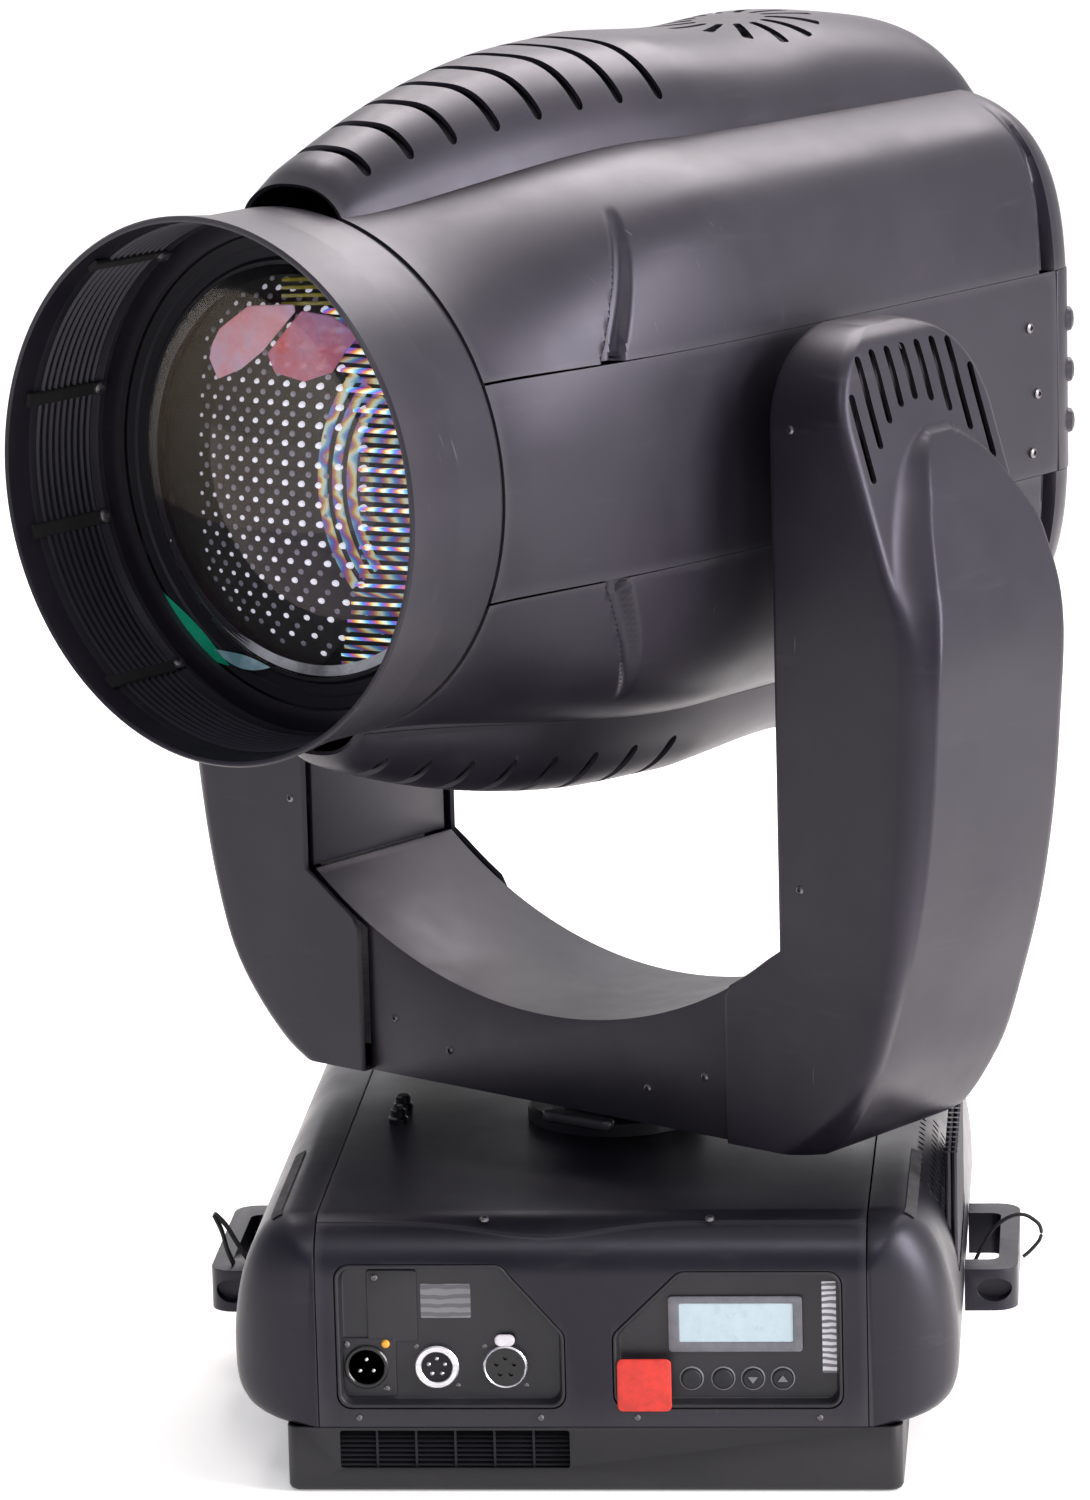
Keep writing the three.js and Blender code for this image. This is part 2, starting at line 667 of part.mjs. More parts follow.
// The plain body of the head goes from round at the hood to nearly square at the rear.
function bodySection(y) {
  const blend = THREE.MathUtils.smoothstep(y, -250, -40);
  const intoRear = Math.max(0, y - (HEAD.rear - HEAD.rearRadius)) / HEAD.rearRadius;
  const shrink = HEAD.rearRadius * (1 - Math.sqrt(Math.max(0, 1 - intoRear ** 2)));
  return {
    width: 141 + (HEAD.halfWidth + 2 - 141) * blend - shrink,
    height: 141 + (HEAD.halfHeight - 141) * blend - shrink,
    power: 2 + 2 * blend,
    shrink,
  };
}

function spineRise(x, y, section) {
  const t = Math.abs(x) / along(SPINE_HALF_WIDTH, y);
  if (t >= 1) return 0;
  const rise = along(CREST, y) - section.height;
  return rise * (1 - t ** 3) ** 0.8;
}

function sectionPoint(y, angle, offset) {
  const section = bodySection(y);
  const c = Math.cos(angle);
  const s = Math.sin(angle);
  const x = (section.width - offset) * Math.sign(c) * Math.abs(c) ** (2 / section.power);
  const flat = (section.height - offset) * Math.sign(s) * Math.abs(s) ** (2 / section.power);
  return [x, flat + Math.sign(s) * spineRise(x, y, section)];
}

// The angle at which the section's surface stands at one height above the tilt axis.
function angleAt(y, height, offset) {
  const section = bodySection(y);
  return Math.asin(Math.min(1, height / (section.height - offset)) ** (section.power / 2));
}

const COVER_STEPS = 12;

function coverRing(y, offset) {
  const edge = HEAD.bandHalfHeight + GAP / 2 - (offset > 0 ? 6 : 0);
  const from = angleAt(y, edge, offset);
  const ring = Array.from({ length: COVER_STEPS + 1 }, (_, i) => {
    const t = i / COVER_STEPS;
    return sectionPoint(y, from + (Math.PI - 2 * from) * t, offset);
  });
  return ring.map(([x, z]) => [x, y, z]);
}

function headCover(up) {
  const stations = [-245.7, -215, -165, -100, -50, 6, 147, 211, 232, 244, 249];
  const hollow = [-247, -215, -165, -50, 6, 147, 211, 232, 246];
  const outer = loft(stations.map((y) => coverRing(y, 0)));
  const solid = cut(outer, loft(hollow.map((y) => coverRing(y, WALL))));
  return up > 0 ? solid : solid.mirror([0, 0, 1]);
}

// A side panel fills the band between the covers and carries a tilt shaft.
function sidePanel(side) {
  const stations = [-245.7, -190, -110, -30, 222];
  const rings = stations.map((y) => {
    const reach = HEAD.bandHalfHeight - GAP / 2;
    const top = angleAt(y, reach, 0);
    const outer = [-1, -0.6, -0.2, 0.2, 0.6, 1].map((t) => sectionPoint(y, top * t, 0));
    const inner = outer.map(([x, z]) => [x - WALL, z]).reverse();
    return [...outer, ...inner].map(([x, z]) => [x, y, z]);
  });
  const solid = cut(loft(rings), bar('x', 14 + GAP, 100, 200));
  return side > 0 ? solid : solid.mirror([1, 0, 0]);
}

// The rear panel closes the band and turns both corners of the head.
function rearPanel() {
  const edge = HEAD.halfWidth + 2;
  const r = HEAD.rearRadius;
  const outer = [
    ...arc(edge - r, HEAD.rear - r, r, 0, 90, 5), ...arc(r - edge, HEAD.rear - r, r, 90, 180, 5),
  ];
  const inner = [
    ...arc(r - edge, HEAD.rear - r, r - WALL, 180, 90, 5),
    ...arc(edge - r, HEAD.rear - r, r - WALL, 90, 0, 5),
  ];
  const reach = HEAD.bandHalfHeight - GAP / 2;
  return prism('z', [...outer, ...inner], -reach, reach);
}

function lensHood() {
  const h = HEAD;
  const t = h.hoodWall;
  const back = h.hoodBack - GAP;
  return turned('y', [
    [h.hoodFront, h.hoodFrontRadius - t], [h.hoodFront, h.hoodFrontRadius],
    [back, h.hoodBackRadius], [back, h.hoodBackRadius - 12],
    [back - 4, h.hoodBackRadius - 12], [back - 4, h.hoodBackRadius - t],
  ], [0, 0], 40);
}

function lensRing() {
  const r = HEAD.lensRadius + GAP;
  const back = HEAD.lensPlane;
  return turned('y', [
    [back - 5.6, r], [back - 5.6, 127], [back + 3.6, 127], [back + 3.6, r],
  ], [0, 0], 32);
}

// The front lens bulges forward from its flat rear face.
function frontLens() {
  const bulge = 30;
  const rim = -6;
  const radius = (HEAD.lensRadius ** 2 + bulge ** 2) / (2 * bulge);
  const half = THREE.MathUtils.radToDeg(Math.asin(HEAD.lensRadius / radius));
  const dome = arc(HEAD.lensPlane + rim - bulge + radius, 0, radius, 180, 180 - half, 5);
  return turned('y', [...dome, [HEAD.lensPlane, HEAD.lensRadius], [HEAD.lensPlane, 0]],
    [0, 0], 32);
}

function headChassis() {
  const beam = (side) => block(...(side > 0 ? [112, 118] : [-118, -112]), -233, 209, -35, 35);
  return join(
    tube('y', 127, 104, -236, -231, [0, 0], 28),
    beam(1), beam(-1),
    cut(block(-118, 118, 20, 24, -112, 112), bar('y', 60, 10, 30)),
    cut(block(-118, 118, 205, 209, -100, 100), bar('y', 50, 200, 215)),
  );
}

function tiltShaft(side) {
  const boss = 28;
  const shaft = 14;
  const solid = turned('x', [
    [118 + GAP, 0], [118 + GAP, shaft], [151, shaft], [151, boss], [167, boss - 3],
    [167, shaft], [203, shaft], [203, 0],
  ], [0, 0], 28);
  return side > 0 ? solid : solid.mirror([1, 0, 0]);
}

const tiltPulley = () => tube('x', PULLEY.large, 14 + GAP, TILT_MOTOR.pulleyInner,
  TILT_MOTOR.pulleyInner + PULLEY.width, [0, 0], 24);

// The zoom carriage holds the lens array in a ring and slides on a rail below it.
const RAIL = { x: 0, z: -105, radius: 4 };
const ZOOM = { front: -224, back: -216, outer: 107, inner: 99 };

function zoomCarriage() {
  const { front, back, outer, inner } = ZOOM;
  return cut(
    join(bar('y', outer, front, back, [0, 0], 24), block(-12, 12, front, back + 12, -116, -94)),
    bar('y', inner, front - 2, back + 14, [0, 0], 24),
    bar('y', RAIL.radius + GAP, front - 2, back + 14, [RAIL.x, RAIL.z], 12),
  );
}

const lensArray = () => bar('y', ZOOM.inner - 0.8, ZOOM.front + 2, ZOOM.back - 2, [0, 0], 24);

// The reflector is a parabolic bowl round the lamp, open at its neck.
function reflector() {
  const neck = 14;
  const bowl = Array.from({ length: 6 }, (_, i) => {
    const t = i / 5;
    return [188 - 80 * t * t, neck + 46 * t];
  });
  const outer = bowl.map(([y, radius]) => [y + 1, radius + 2.5]).reverse();
  return turned('y', [...bowl, ...outer], [0, 0], 20);
}

function lamp() {
  return turned('y', [
    [118, 0], [121, 4], [138, 5], [144, 10], [150, 12], [156, 10], [162, 5], [186, 6], [186, 0],
  ], [0, 0], 12);
}

const lampSocket = () => bar('y', 12, 189.5, 204, [0, 0], 16);

function colourWheel() {
  const centre = [0, 78];
  const windows = Array.from({ length: 6 }, (_, i) => {
    const a = i * Math.PI / 3;
    return bar('y', 20, 50, 70, [centre[0] + 56 * Math.sin(a), centre[1] - 56 * Math.cos(a)], 10);
  });
  return cut(bar('y', 80, 59, 61, centre, 28), ...windows);
}

function fanRotor() {
  const count = 7;
  const blade = block(-5, 5, 217, 229, 12, 42);
  const blades = Array.from({ length: count }, (_, i) =>
    blade.transform(new THREE.Matrix4().makeRotationY(i * 2 * Math.PI / count).elements));
  return join(bar('y', 18, 214, 231), ...blades);
}

function buildHead(head) {
  part(head, 'head_chassis', FINISH.blackPaint, headChassis());
  part(head, 'head_cover_top', FINISH.blackPlastic, headCover(1));
  part(head, 'head_cover_bottom', FINISH.blackPlastic, headCover(-1));
  for (const [label, side] of [['left', -1], ['right', 1]]) {
    part(head, `head_side_panel_${label}`, FINISH.blackPlastic, sidePanel(side));
    part(head, `tilt_shaft_${label}`, FINISH.steel, tiltShaft(side));
  }
  part(head, 'head_rear_panel', FINISH.blackPlastic, rearPanel());
  part(head, 'tilt_pulley', FINISH.aluminium, tiltPulley());
  part(head, 'lens_hood', FINISH.blackPlastic, lensHood());
  part(head, 'lens_ring', FINISH.blackPaint, lensRing());
  part(head, 'front_lens', FINISH.glass, frontLens());
  part(head, 'zoom_carriage', FINISH.blackPaint, zoomCarriage());
  part(head, 'lens_array', FINISH.glass, lensArray());
  part(head, 'zoom_rail', FINISH.steel,
    bar('y', RAIL.radius, -230.5, 19.7, [RAIL.x, RAIL.z], 12));
  part(head, 'lamp_reflector', FINISH.glass, reflector());
  part(head, 'lamp', FINISH.glass, lamp());
  part(head, 'lamp_socket', FINISH.steel, lampSocket());
  part(head, 'colour_wheel', FINISH.coloured, colourWheel());
  part(head, 'rear_fan_rotor', FINISH.blackPlastic, fanRotor());
}

// ---------------------------------------------------------------- assembly

const light = new THREE.Group();
const yoke = new THREE.Group();
const head = new THREE.Group();
yoke.rotation.z = THREE.MathUtils.degToRad(YOKE.panAngle);
head.position.z = TILT_HEIGHT;
light.add(yoke);
yoke.add(head);
buildBase(light);
buildYoke(yoke);
buildHead(head);

export default light;
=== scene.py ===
"""Looks of a moving head stage light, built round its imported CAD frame.

Lengths are millimetres in the frame of the body that a piece belongs to, and are scaled when the
mesh is made. Inside the yoke and the head the front is -y and +x is the right-hand arm; the
head's heights count from the tilt axis.
"""

import json
import math

import bmesh
import bpy
from mathutils import Matrix, Vector


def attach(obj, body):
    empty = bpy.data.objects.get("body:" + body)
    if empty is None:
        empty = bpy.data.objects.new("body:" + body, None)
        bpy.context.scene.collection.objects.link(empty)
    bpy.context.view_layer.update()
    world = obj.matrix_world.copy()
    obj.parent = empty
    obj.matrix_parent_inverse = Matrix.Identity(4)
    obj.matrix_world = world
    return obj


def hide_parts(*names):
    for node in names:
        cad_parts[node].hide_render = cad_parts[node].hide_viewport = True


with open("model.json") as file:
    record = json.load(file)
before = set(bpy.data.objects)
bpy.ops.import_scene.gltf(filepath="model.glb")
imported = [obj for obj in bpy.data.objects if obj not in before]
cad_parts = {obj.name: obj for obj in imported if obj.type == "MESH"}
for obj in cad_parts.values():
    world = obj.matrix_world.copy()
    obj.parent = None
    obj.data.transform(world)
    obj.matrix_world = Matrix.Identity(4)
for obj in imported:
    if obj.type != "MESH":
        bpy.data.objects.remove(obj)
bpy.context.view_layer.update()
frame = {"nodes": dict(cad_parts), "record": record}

# ------------------------------------------------------------------ driving dimensions

MM = 0.001
GAP = 0.3
WALL = 3.0
SKIN, BASE_SKIN = 2.4, 2.5
SIDES, COVERS = ((-1, "left"), (1, "right")), ((1, "top"), (-1, "bottom"))
PAN_ANGLE = math.radians(-35.6)
TILT_HEIGHT = 554.6

BASE_FRAME = Matrix.Identity(4)
YOKE_FRAME = Matrix.Rotation(PAN_ANGLE, 4, "Z")
HEAD_FRAME = YOKE_FRAME @ Matrix.Translation((0, 0, TILT_HEIGHT * MM))
FRAME_OF = {"base": BASE_FRAME, "release_tab": BASE_FRAME, "yoke": YOKE_FRAME,
            "pan_lock": YOKE_FRAME, "head": HEAD_FRAME, "zoom": HEAD_FRAME}
for number in range(1, 5):
    FRAME_OF[f"button_{number}"] = BASE_FRAME

TRAY_WIDTH, TRAY_DEPTH, TRAY_HEIGHT = 166.0, 222.0, 36.0
BASE_TOP, BASE_SEAM, BASE_EDGE = 149.0, 148.0, 30.0
SIDE_REACH, SIDE_MIDDLE, SIDE_CORNER = 196.0, 75.0, 35.0
PANEL_FLOOR = -214.0
CONNECTORS, CONNECTOR_HEIGHT, CONNECTOR_RADIUS = (-122.0, -84.0, -47.0), 68.0, 12.0
BUTTONS, BUTTON_HEIGHT = (53.0, 70.0, 86.0, 102.0), 61.0
HANDLE_INNER, HANDLE_OUTER, HANDLE_HALF, HANDLE_END, HANDLE_GRIP = 196.4, 226.0, 66.0, 20.0, 11.0
HANDLE_BOTTOM, HANDLE_TOP = 53.0, 77.0
GLAND, GLAND_BORE = (90, 20), 5.5
TETHER_WIRE = 1.1
TETHER = [(228, -5, 66), (231.2, -4.4, 68.5), (234.6, -4, 72), (237.5, -4, 75.8), (238.5, -4, 80),
          (237.5, -3.6, 84.2), (234.6, -3, 87), (230.2, -2.5, 89.6), (225, -2, 90), (219, -1, 87.5),
          (213.4, 0, 83), (209.3, 0.6, 77.8), (206, 1, 72), (203.3, 1.5, 66.8), (201, 2, 62)]

ARM_INNER, ARM_DEPTH, ARM_BOTTOM, ARM_TOP, ARM_ROUND = 170.5, 65.0, 168.0, 617.0, 52.0
SADDLE_CENTRE, SADDLE_RADIUS, SADDLE_END, CROSSBAR_SEAM = 483.0, 263.4, 281.0, 131.7
CROSSBAR_DEPTH = 59.0

HOOD_FRONT, HOOD_BACK, HOOD_FRONT_R, HOOD_BACK_R, HOOD_WALL = -321.5, -246.0, 144.5, 139.5, 3.6
BAND, HEAD_SIDE, REAR, REAR_ROUND = 57.0, 150.0, 250.0, 26.0
BAND_BACK = 222.5
LENS_RADIUS, LENS_PLANE = 110.0, -240.0
ARRAY_RADIUS, ARRAY_PITCH, ARRAY_FRONT, PRISM_CENTRE = 98.2, 9.1, -222.0, 82.0
ARRAY_COLUMNS = 11
ZOOM_INNER, ZOOM_OUTER, ZOOM_FRONT, ZOOM_BACK, ZOOM_RAIL = 99.0, 107.0, -224.0, -216.0, (0, -105)


# ------------------------------------------------------------------ outlines and shapes

def arc(cx, cy, radius, start, end, steps):
    """Points on a circle, angles in degrees."""
    points = []
    for i in range(steps + 1):
        a = math.radians(start + (end - start) * i / steps)
        points.append((cx + radius * math.cos(a), cy + radius * math.sin(a)))
    return points


def rounded(outline, radius, steps=6):
    """The closed outline with every corner turned into an arc."""
    points = []
    count = len(outline)
    for i, corner in enumerate(outline):
        here = Vector(corner)
        before = Vector(outline[i - 1]) - here
        after = Vector(outline[(i + 1) % count]) - here
        half = before.angle(after) / 2
        reach = min(radius / math.tan(half), before.length * 0.49, after.length * 0.49)
        size = reach * math.tan(half)
        centre = here + (before.normalized() + after.normalized()).normalized() * size / math.sin(half)
        start = here + before.normalized() * reach - centre
        end = here + after.normalized() * reach - centre
        turn = start.angle_signed(end)
        for k in range(steps + 1):
            a = -turn * k / steps
            points.append((centre.x + start.x * math.cos(a) - start.y * math.sin(a),
                           centre.y + start.x * math.sin(a) + start.y * math.cos(a)))
    return points


def smoothstep(low, high, value):
    t = max(0.0, min(1.0, (value - low) / (high - low)))
    return t * t * (3 - 2 * t)


def curve_through(table, at):
    """A smooth curve through (place, value) pairs: cubic between them, flat beyond the ends."""
    if at <= table[0][0]:
        return table[0][1]
    if at >= table[-1][0]:
        return table[-1][1]
    i = next(k for k in range(1, len(table)) if table[k][0] >= at)

    def slope(k):
        a, b = max(0, k - 1), min(len(table) - 1, k + 1)
        return (table[b][1] - table[a][1]) / (table[b][0] - table[a][0])

    (p0, v0), (p1, v1) = table[i - 1], table[i]
    span = p1 - p0
    t = (at - p0) / span
    return ((2 * t ** 3 - 3 * t ** 2 + 1) * v0 + (t ** 3 - 2 * t ** 2 + t) * span * slope(i - 1)
            + (3 * t ** 2 - 2 * t ** 3) * v1 + (t ** 3 - t ** 2) * span * slope(i))


def spaced(start, end, count):
    return [start + (end - start) * i / (count - 1) for i in range(count)]


def lofted(rings, wrap=True, caps="both"):
    """A skin through rows of points that all hold the same number of points.

    caps says which ends are closed by a face: both, end or none.
    """
    count = len(rings[0])
    verts = [point for ring in rings for point in ring]
    faces = []
    for r in range(len(rings) - 1):
        for i in range(count if wrap else count - 1):
            a, b = r * count + i, r * count + (i + 1) % count
            faces.append((a, b, b + count, a + count))
    if caps == "both":
        faces.append(tuple(reversed(range(count))))
    if caps != "none":
        faces.append(tuple(range((len(rings) - 1) * count, len(rings) * count)))
    return verts, faces


def sheet(rows):
    """An open skin through rows of points."""
    return lofted(rows, wrap=False, caps="none")


def on_axis(axis, along, u, v):
    return {"x": (along, u, v), "y": (u, along, v), "z": (u, v, along)}[axis]


def pushed(axis, outline, start, end):
    """A flat outline pushed along an axis."""
    return lofted([[on_axis(axis, at, u, v) for u, v in outline] for at in (start, end)])


def turned(axis, profile, centre=(0, 0), sides=48, closed=True):
    """A profile of (along, radius) pairs turned about an axis; closed=False if it ends on it."""
    rows = []
    for i in range(sides):
        a = 2 * math.pi * i / sides
        rows.append([on_axis(axis, along, centre[0] + r * math.cos(a), centre[1] + r * math.sin(a))
                     for along, r in profile])
    rows.append(rows[0])
    return lofted(rows, wrap=closed, caps="none")


def rod(axis, start, end, radius, centre=(0, 0), sides=48):
    """A solid round bar along an axis."""
    return turned(axis, [(start, 0), (start, radius), (end, radius), (end, 0)], centre, sides, False)


def tube_along(path, radius, sides=10):
    """A round tube along a list of points."""
    points = [Vector(p) for p in path]
    rings = []
    side = Vector((0, 0, 1))
    for i, point in enumerate(points):
        ahead = (points[min(i + 1, len(points) - 1)] - points[max(i - 1, 0)]).normalized()
        across = ahead.cross(side)
        if across.length < 0.05:
            across = ahead.cross(Vector((1, 0, 0)))
        across.normalize()
        up = across.cross(ahead)
        rings.append([tuple(point + across * radius * math.cos(2 * math.pi * k / sides)
                            + up * radius * math.sin(2 * math.pi * k / sides)) for k in range(sides)])
    return lofted(rings)


def smooth_path(points, per_span=8):
    """A Catmull-Rom curve through the points."""
    ends = [points[0]] + list(points) + [points[-1]]
    path = []
    for i in range(1, len(ends) - 2):
        p0, p1, p2, p3 = (Vector(ends[i + k]) for k in (-1, 0, 1, 2))
        for k in range(per_span):
            t = k / per_span
            path.append(tuple(0.5 * (2 * p1 + (p2 - p0) * t + (2 * p0 - 5 * p1 + 4 * p2 - p3) * t ** 2
                                     + (3 * p1 - p0 - 3 * p2 + p3) * t ** 3)))
    return path + [tuple(points[-1])]


def rectangle(x0, x1, y0, y1, radius=0.0):
    outline = [(x0, y0), (x1, y0), (x1, y1), (x0, y1)]
    return rounded(outline, radius) if radius else outline


def block(x0, x1, y0, y1, z0, z1):
    return pushed("z", rectangle(x0, x1, y0, y1), z0, z1)


def together(*shapes):
    verts, faces = [], []
    for shape_verts, shape_faces in shapes:
        offset = len(verts)
        verts.extend(shape_verts)
        faces.extend(tuple(i + offset for i in face) for face in shape_faces)
    return verts, faces


def moved(shape, matrix):
    return [tuple(matrix @ Vector(v)) for v in shape[0]], shape[1]


def flipped(shape, axis):
    """The mirror image across the plane through the origin, with its faces turned back out."""
    k = "xyz".index(axis)
    verts = [tuple(-c if i == k else c for i, c in enumerate(v)) for v in shape[0]]
    return verts, [tuple(reversed(face)) for face in shape[1]]


def on_side(side, *shapes):
    """Shapes drawn for the right, or their mirror images for the left."""
    return shapes if side > 0 else tuple(flipped(shape, "x") for shape in shapes)


def bare_object(name, shape, to_world):
    mesh = bpy.data.meshes.new(name)
    mesh.from_pydata([tuple(to_world @ (Vector(v) * MM)) for v in shape[0]], [], shape[1])
    mesh.validate()
    obj = bpy.data.objects.new(name, mesh)
    bpy.context.scene.collection.objects.link(obj)
    return obj


def outward(obj):
    """Welds a mesh and turns its faces outward."""
    bm = bmesh.new()
    bm.from_mesh(obj.data)
    bmesh.ops.remove_doubles(bm, verts=bm.verts, dist=1e-6)
    bmesh.ops.recalc_face_normals(bm, faces=bm.faces)
    bm.to_mesh(obj.data)
    bm.free()


def apply_modifiers(obj):
    graph = bpy.context.evaluated_depsgraph_get()
    graph.update()
    mesh = bpy.data.meshes.new_from_object(obj.evaluated_get(graph))
    obj.modifiers.clear()
    obj.data = mesh


def piece(name, shape, body, material, replaces=(), thick=0.0, cuts=(), bevel=0.0,
          segments=3, sharp=35.0, inward=-1.0):
    """One finished piece: shell thickness, cuts and edge rounding become part of its mesh."""
    to_world = FRAME_OF[body]
    obj = bare_object(name, shape, to_world)
    outward(obj)
    if thick:
        solid = obj.modifiers.new("thickness", "SOLIDIFY")
        solid.thickness = thick * MM
        solid.offset = inward
        apply_modifiers(obj)
    for tool_shape in cuts:
        tool = bare_object(name + "_tool", tool_shape, to_world)
        outward(tool)
        cut = obj.modifiers.new("cut", "BOOLEAN")
        cut.operation = "DIFFERENCE"
        cut.solver = "EXACT"
        cut.object = tool
        apply_modifiers(obj)
        bpy.data.objects.remove(tool)
    if bevel:
        edge = obj.modifiers.new("edges", "BEVEL")
        edge.width = bevel * MM
        edge.segments = segments
        edge.limit_method = "ANGLE"
        edge.angle_limit = math.radians(40)
        edge.use_clamp_overlap = True
        apply_modifiers(obj)
    obj.data.name = name
    for polygon in obj.data.polygons:
        polygon.use_smooth = True
    obj.data.set_sharp_from_angle(angle=math.radians(sharp))
    obj.data.materials.clear()
    obj.data.materials.append(material)
    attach(obj, body)
    if replaces:
        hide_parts(*replaces)
    return obj


# ------------------------------------------------------------------ materials

class Nodes:
    """A short way to write a material's node tree."""

    def __init__(self, name):
        self.material = bpy.data.materials.new(name)
        self.material.use_nodes = True
        self.tree = self.material.node_tree
        self.tree.nodes.clear()
        self.output = self.tree.nodes.new("ShaderNodeOutputMaterial")
        self.shader = self.tree.nodes.new("ShaderNodeBsdfPrincipled")
        self.link(self.shader.outputs[0], self.output.inputs[0])
        self.place = self.tree.nodes.new("ShaderNodeTexCoord").outputs["Object"]

    def link(self, start, end):
        self.tree.links.new(start, end)

    def set(self, socket, value):
        self.shader.inputs[socket].default_value = value

    def noise(self, scale, detail=4.0, rough=0.5, stretch=None):
        node = self.tree.nodes.new("ShaderNodeTexNoise")
        node.inputs["Scale"].default_value = scale
        node.inputs["Detail"].default_value = detail
        node.inputs["Roughness"].default_value = rough
        place = self.place
        if stretch:
            mapping = self.tree.nodes.new("ShaderNodeMapping")
            mapping.inputs["Scale"].default_value = stretch[0]
            mapping.inputs["Rotation"].default_value = stretch[1]
            self.link(place, mapping.inputs[0])
            place = mapping.outputs[0]
        self.link(place, node.inputs["Vector"])
        return node.outputs["Fac"]

    def ramp(self, value, *stops):
        node = self.tree.nodes.new("ShaderNodeValToRGB")
        while len(node.color_ramp.elements) < len(stops):
            node.color_ramp.elements.new(0.5)
        for element, (at, color) in zip(node.color_ramp.elements, stops):
            element.position = at
            if isinstance(color, (int, float)):
                color = (color, color, color)
            element.color = (*color, 1.0)
        self.link(value, node.inputs[0])
        return node.outputs[0]

    def cloudy(self, socket, noise, low, high, stops=(0.3, 0.7)):
        """Clouds between two values or colours on a socket of the shader."""
        tone = self.ramp(self.noise(*noise), (stops[0], low), (stops[1], high))
        self.link(tone, self.shader.inputs[socket])

    def math(self, operation, a, b):
        node = self.tree.nodes.new("ShaderNodeMath")
        node.operation = operation
        for socket, value in zip(node.inputs, (a, b)):
            if isinstance(value, (int, float)):
                socket.default_value = value
            else:
                self.link(value, socket)
        return node.outputs[0]

    def mix(self, factor, a, b):
        node = self.tree.nodes.new("ShaderNodeMix")
        node.data_type = "RGBA"
        for socket, value in ((node.inputs[0], factor), (node.inputs[6], a), (node.inputs[7], b)):
            if isinstance(value, tuple):
                socket.default_value = (*value, 1.0)
            elif isinstance(value, (int, float)):
                socket.default_value = value
            else:
                self.link(value, socket)
        return node.outputs[2]

    def bump(self, height, strength, distance):
        node = self.tree.nodes.new("ShaderNodeBump")
        node.inputs["Strength"].default_value = strength
        node.inputs["Distance"].default_value = distance
        self.link(height, node.inputs["Height"])
        self.link(node.outputs[0], self.shader.inputs["Normal"])

    def worn_edges(self, low, high):
        geometry = self.tree.nodes.new("ShaderNodeNewGeometry")
        return self.ramp(geometry.outputs["Pointiness"], (low, 0.0), (high, 1.0))


def moulded_plastic(name, dark, light, rough, scuffs):
    """Satin black moulding: fine grain, faint handling marks, scuffs and lighter worn edges."""
    n = Nodes(name)
    cloud = n.noise(7.0, 6.0, 0.6)
    body = n.ramp(cloud, (0.32, dark), (0.7, light))
    marks = n.ramp(n.noise(18.0, 8.0, 0.7, ((1.0, 0.22, 5.0), (0.4, 0.2, 0.6))), (0.6, 0.0), (0.72, 1.0))
    scratches = n.ramp(n.noise(60.0, 3.0, 0.6, ((1.0, 9.0, 0.5), (0.3, 0.9, 0.2))), (0.69, 0.0), (0.73, 1.0))
    patch = n.ramp(n.noise(11.0, 2.0, 0.5), (0.5, 0.0), (0.68, 1.0))
    wear = n.math("MULTIPLY", n.math("MULTIPLY", scratches, patch), scuffs)
    wear = n.math("ADD", wear, n.math("MULTIPLY", marks, 0.16 * scuffs))
    edge = n.math("MULTIPLY", n.worn_edges(0.53, 0.62), 0.35 * scuffs)
    wear = n.math("MINIMUM", n.math("ADD", wear, edge), 1.0)
    worn = tuple(0.5 * channel + 0.085 for channel in light)
    n.link(n.mix(wear, body, worn), n.shader.inputs["Base Color"])
    sheen = n.ramp(n.noise(9.0, 7.0, 0.65), (0.3, rough - 0.07), (0.7, rough + 0.1))
    n.link(n.math("ADD", sheen, n.math("MULTIPLY", wear, 0.15)), n.shader.inputs["Roughness"])
    n.set("Specular IOR Level", 0.4)
    n.set("Specular Tint", (0.9, 0.87, 1.0, 1.0))
    n.bump(n.math("ADD", n.noise(1500.0, 2.0, 0.5), n.math("MULTIPLY", scratches, -0.4)), 0.12, 0.0004)
    return n.material


def painted_metal(name, dark, light, rough):
    n = Nodes(name)
    n.cloudy("Base Color", (14.0, 6.0, 0.6), dark, light)
    n.cloudy("Roughness", (30.0, 5.0, 0.6), rough - 0.06, rough + 0.08)
    n.bump(n.noise(2200.0, 2.0, 0.6), 0.18, 0.0003)
    return n.material


def bright_metal(name, color, rough):
    n = Nodes(name)
    shade = n.noise(40.0, 4.0, 0.5, ((1.0, 1.0, 14.0), (0.0, 0.0, 0.0)))
    dark = tuple(0.75 * channel for channel in color)
    n.link(n.ramp(shade, (0.3, dark), (0.7, color)), n.shader.inputs["Base Color"])
    n.link(n.ramp(shade, (0.3, rough + 0.1), (0.7, rough)), n.shader.inputs["Roughness"])
    n.set("Metallic", 1.0)
    return n.material


def rubbery(name, dark, light, rough=0.7):
    n = Nodes(name)
    n.cloudy("Base Color", (90.0, 4.0, 0.6), dark, light)
    n.cloudy("Roughness", (120.0, 3.0, 0.5), rough - 0.08, rough + 0.08)
    n.bump(n.noise(1800.0, 2.0, 0.5), 0.2, 0.0003)
    return n.material


def printed(name, color, rough, speckle=0.06):
    """A smooth coloured surface with faint dirt: labels, lamps and small plastic pieces."""
    n = Nodes(name)
    dirty = tuple(channel * (1 - 4 * speckle) for channel in color)
    n.cloudy("Base Color", (160.0, 5.0, 0.7), dirty, color, (0.35, 0.6))
    n.cloudy("Roughness", (80.0, 4.0, 0.6), rough, rough + 0.12)
    return n.material


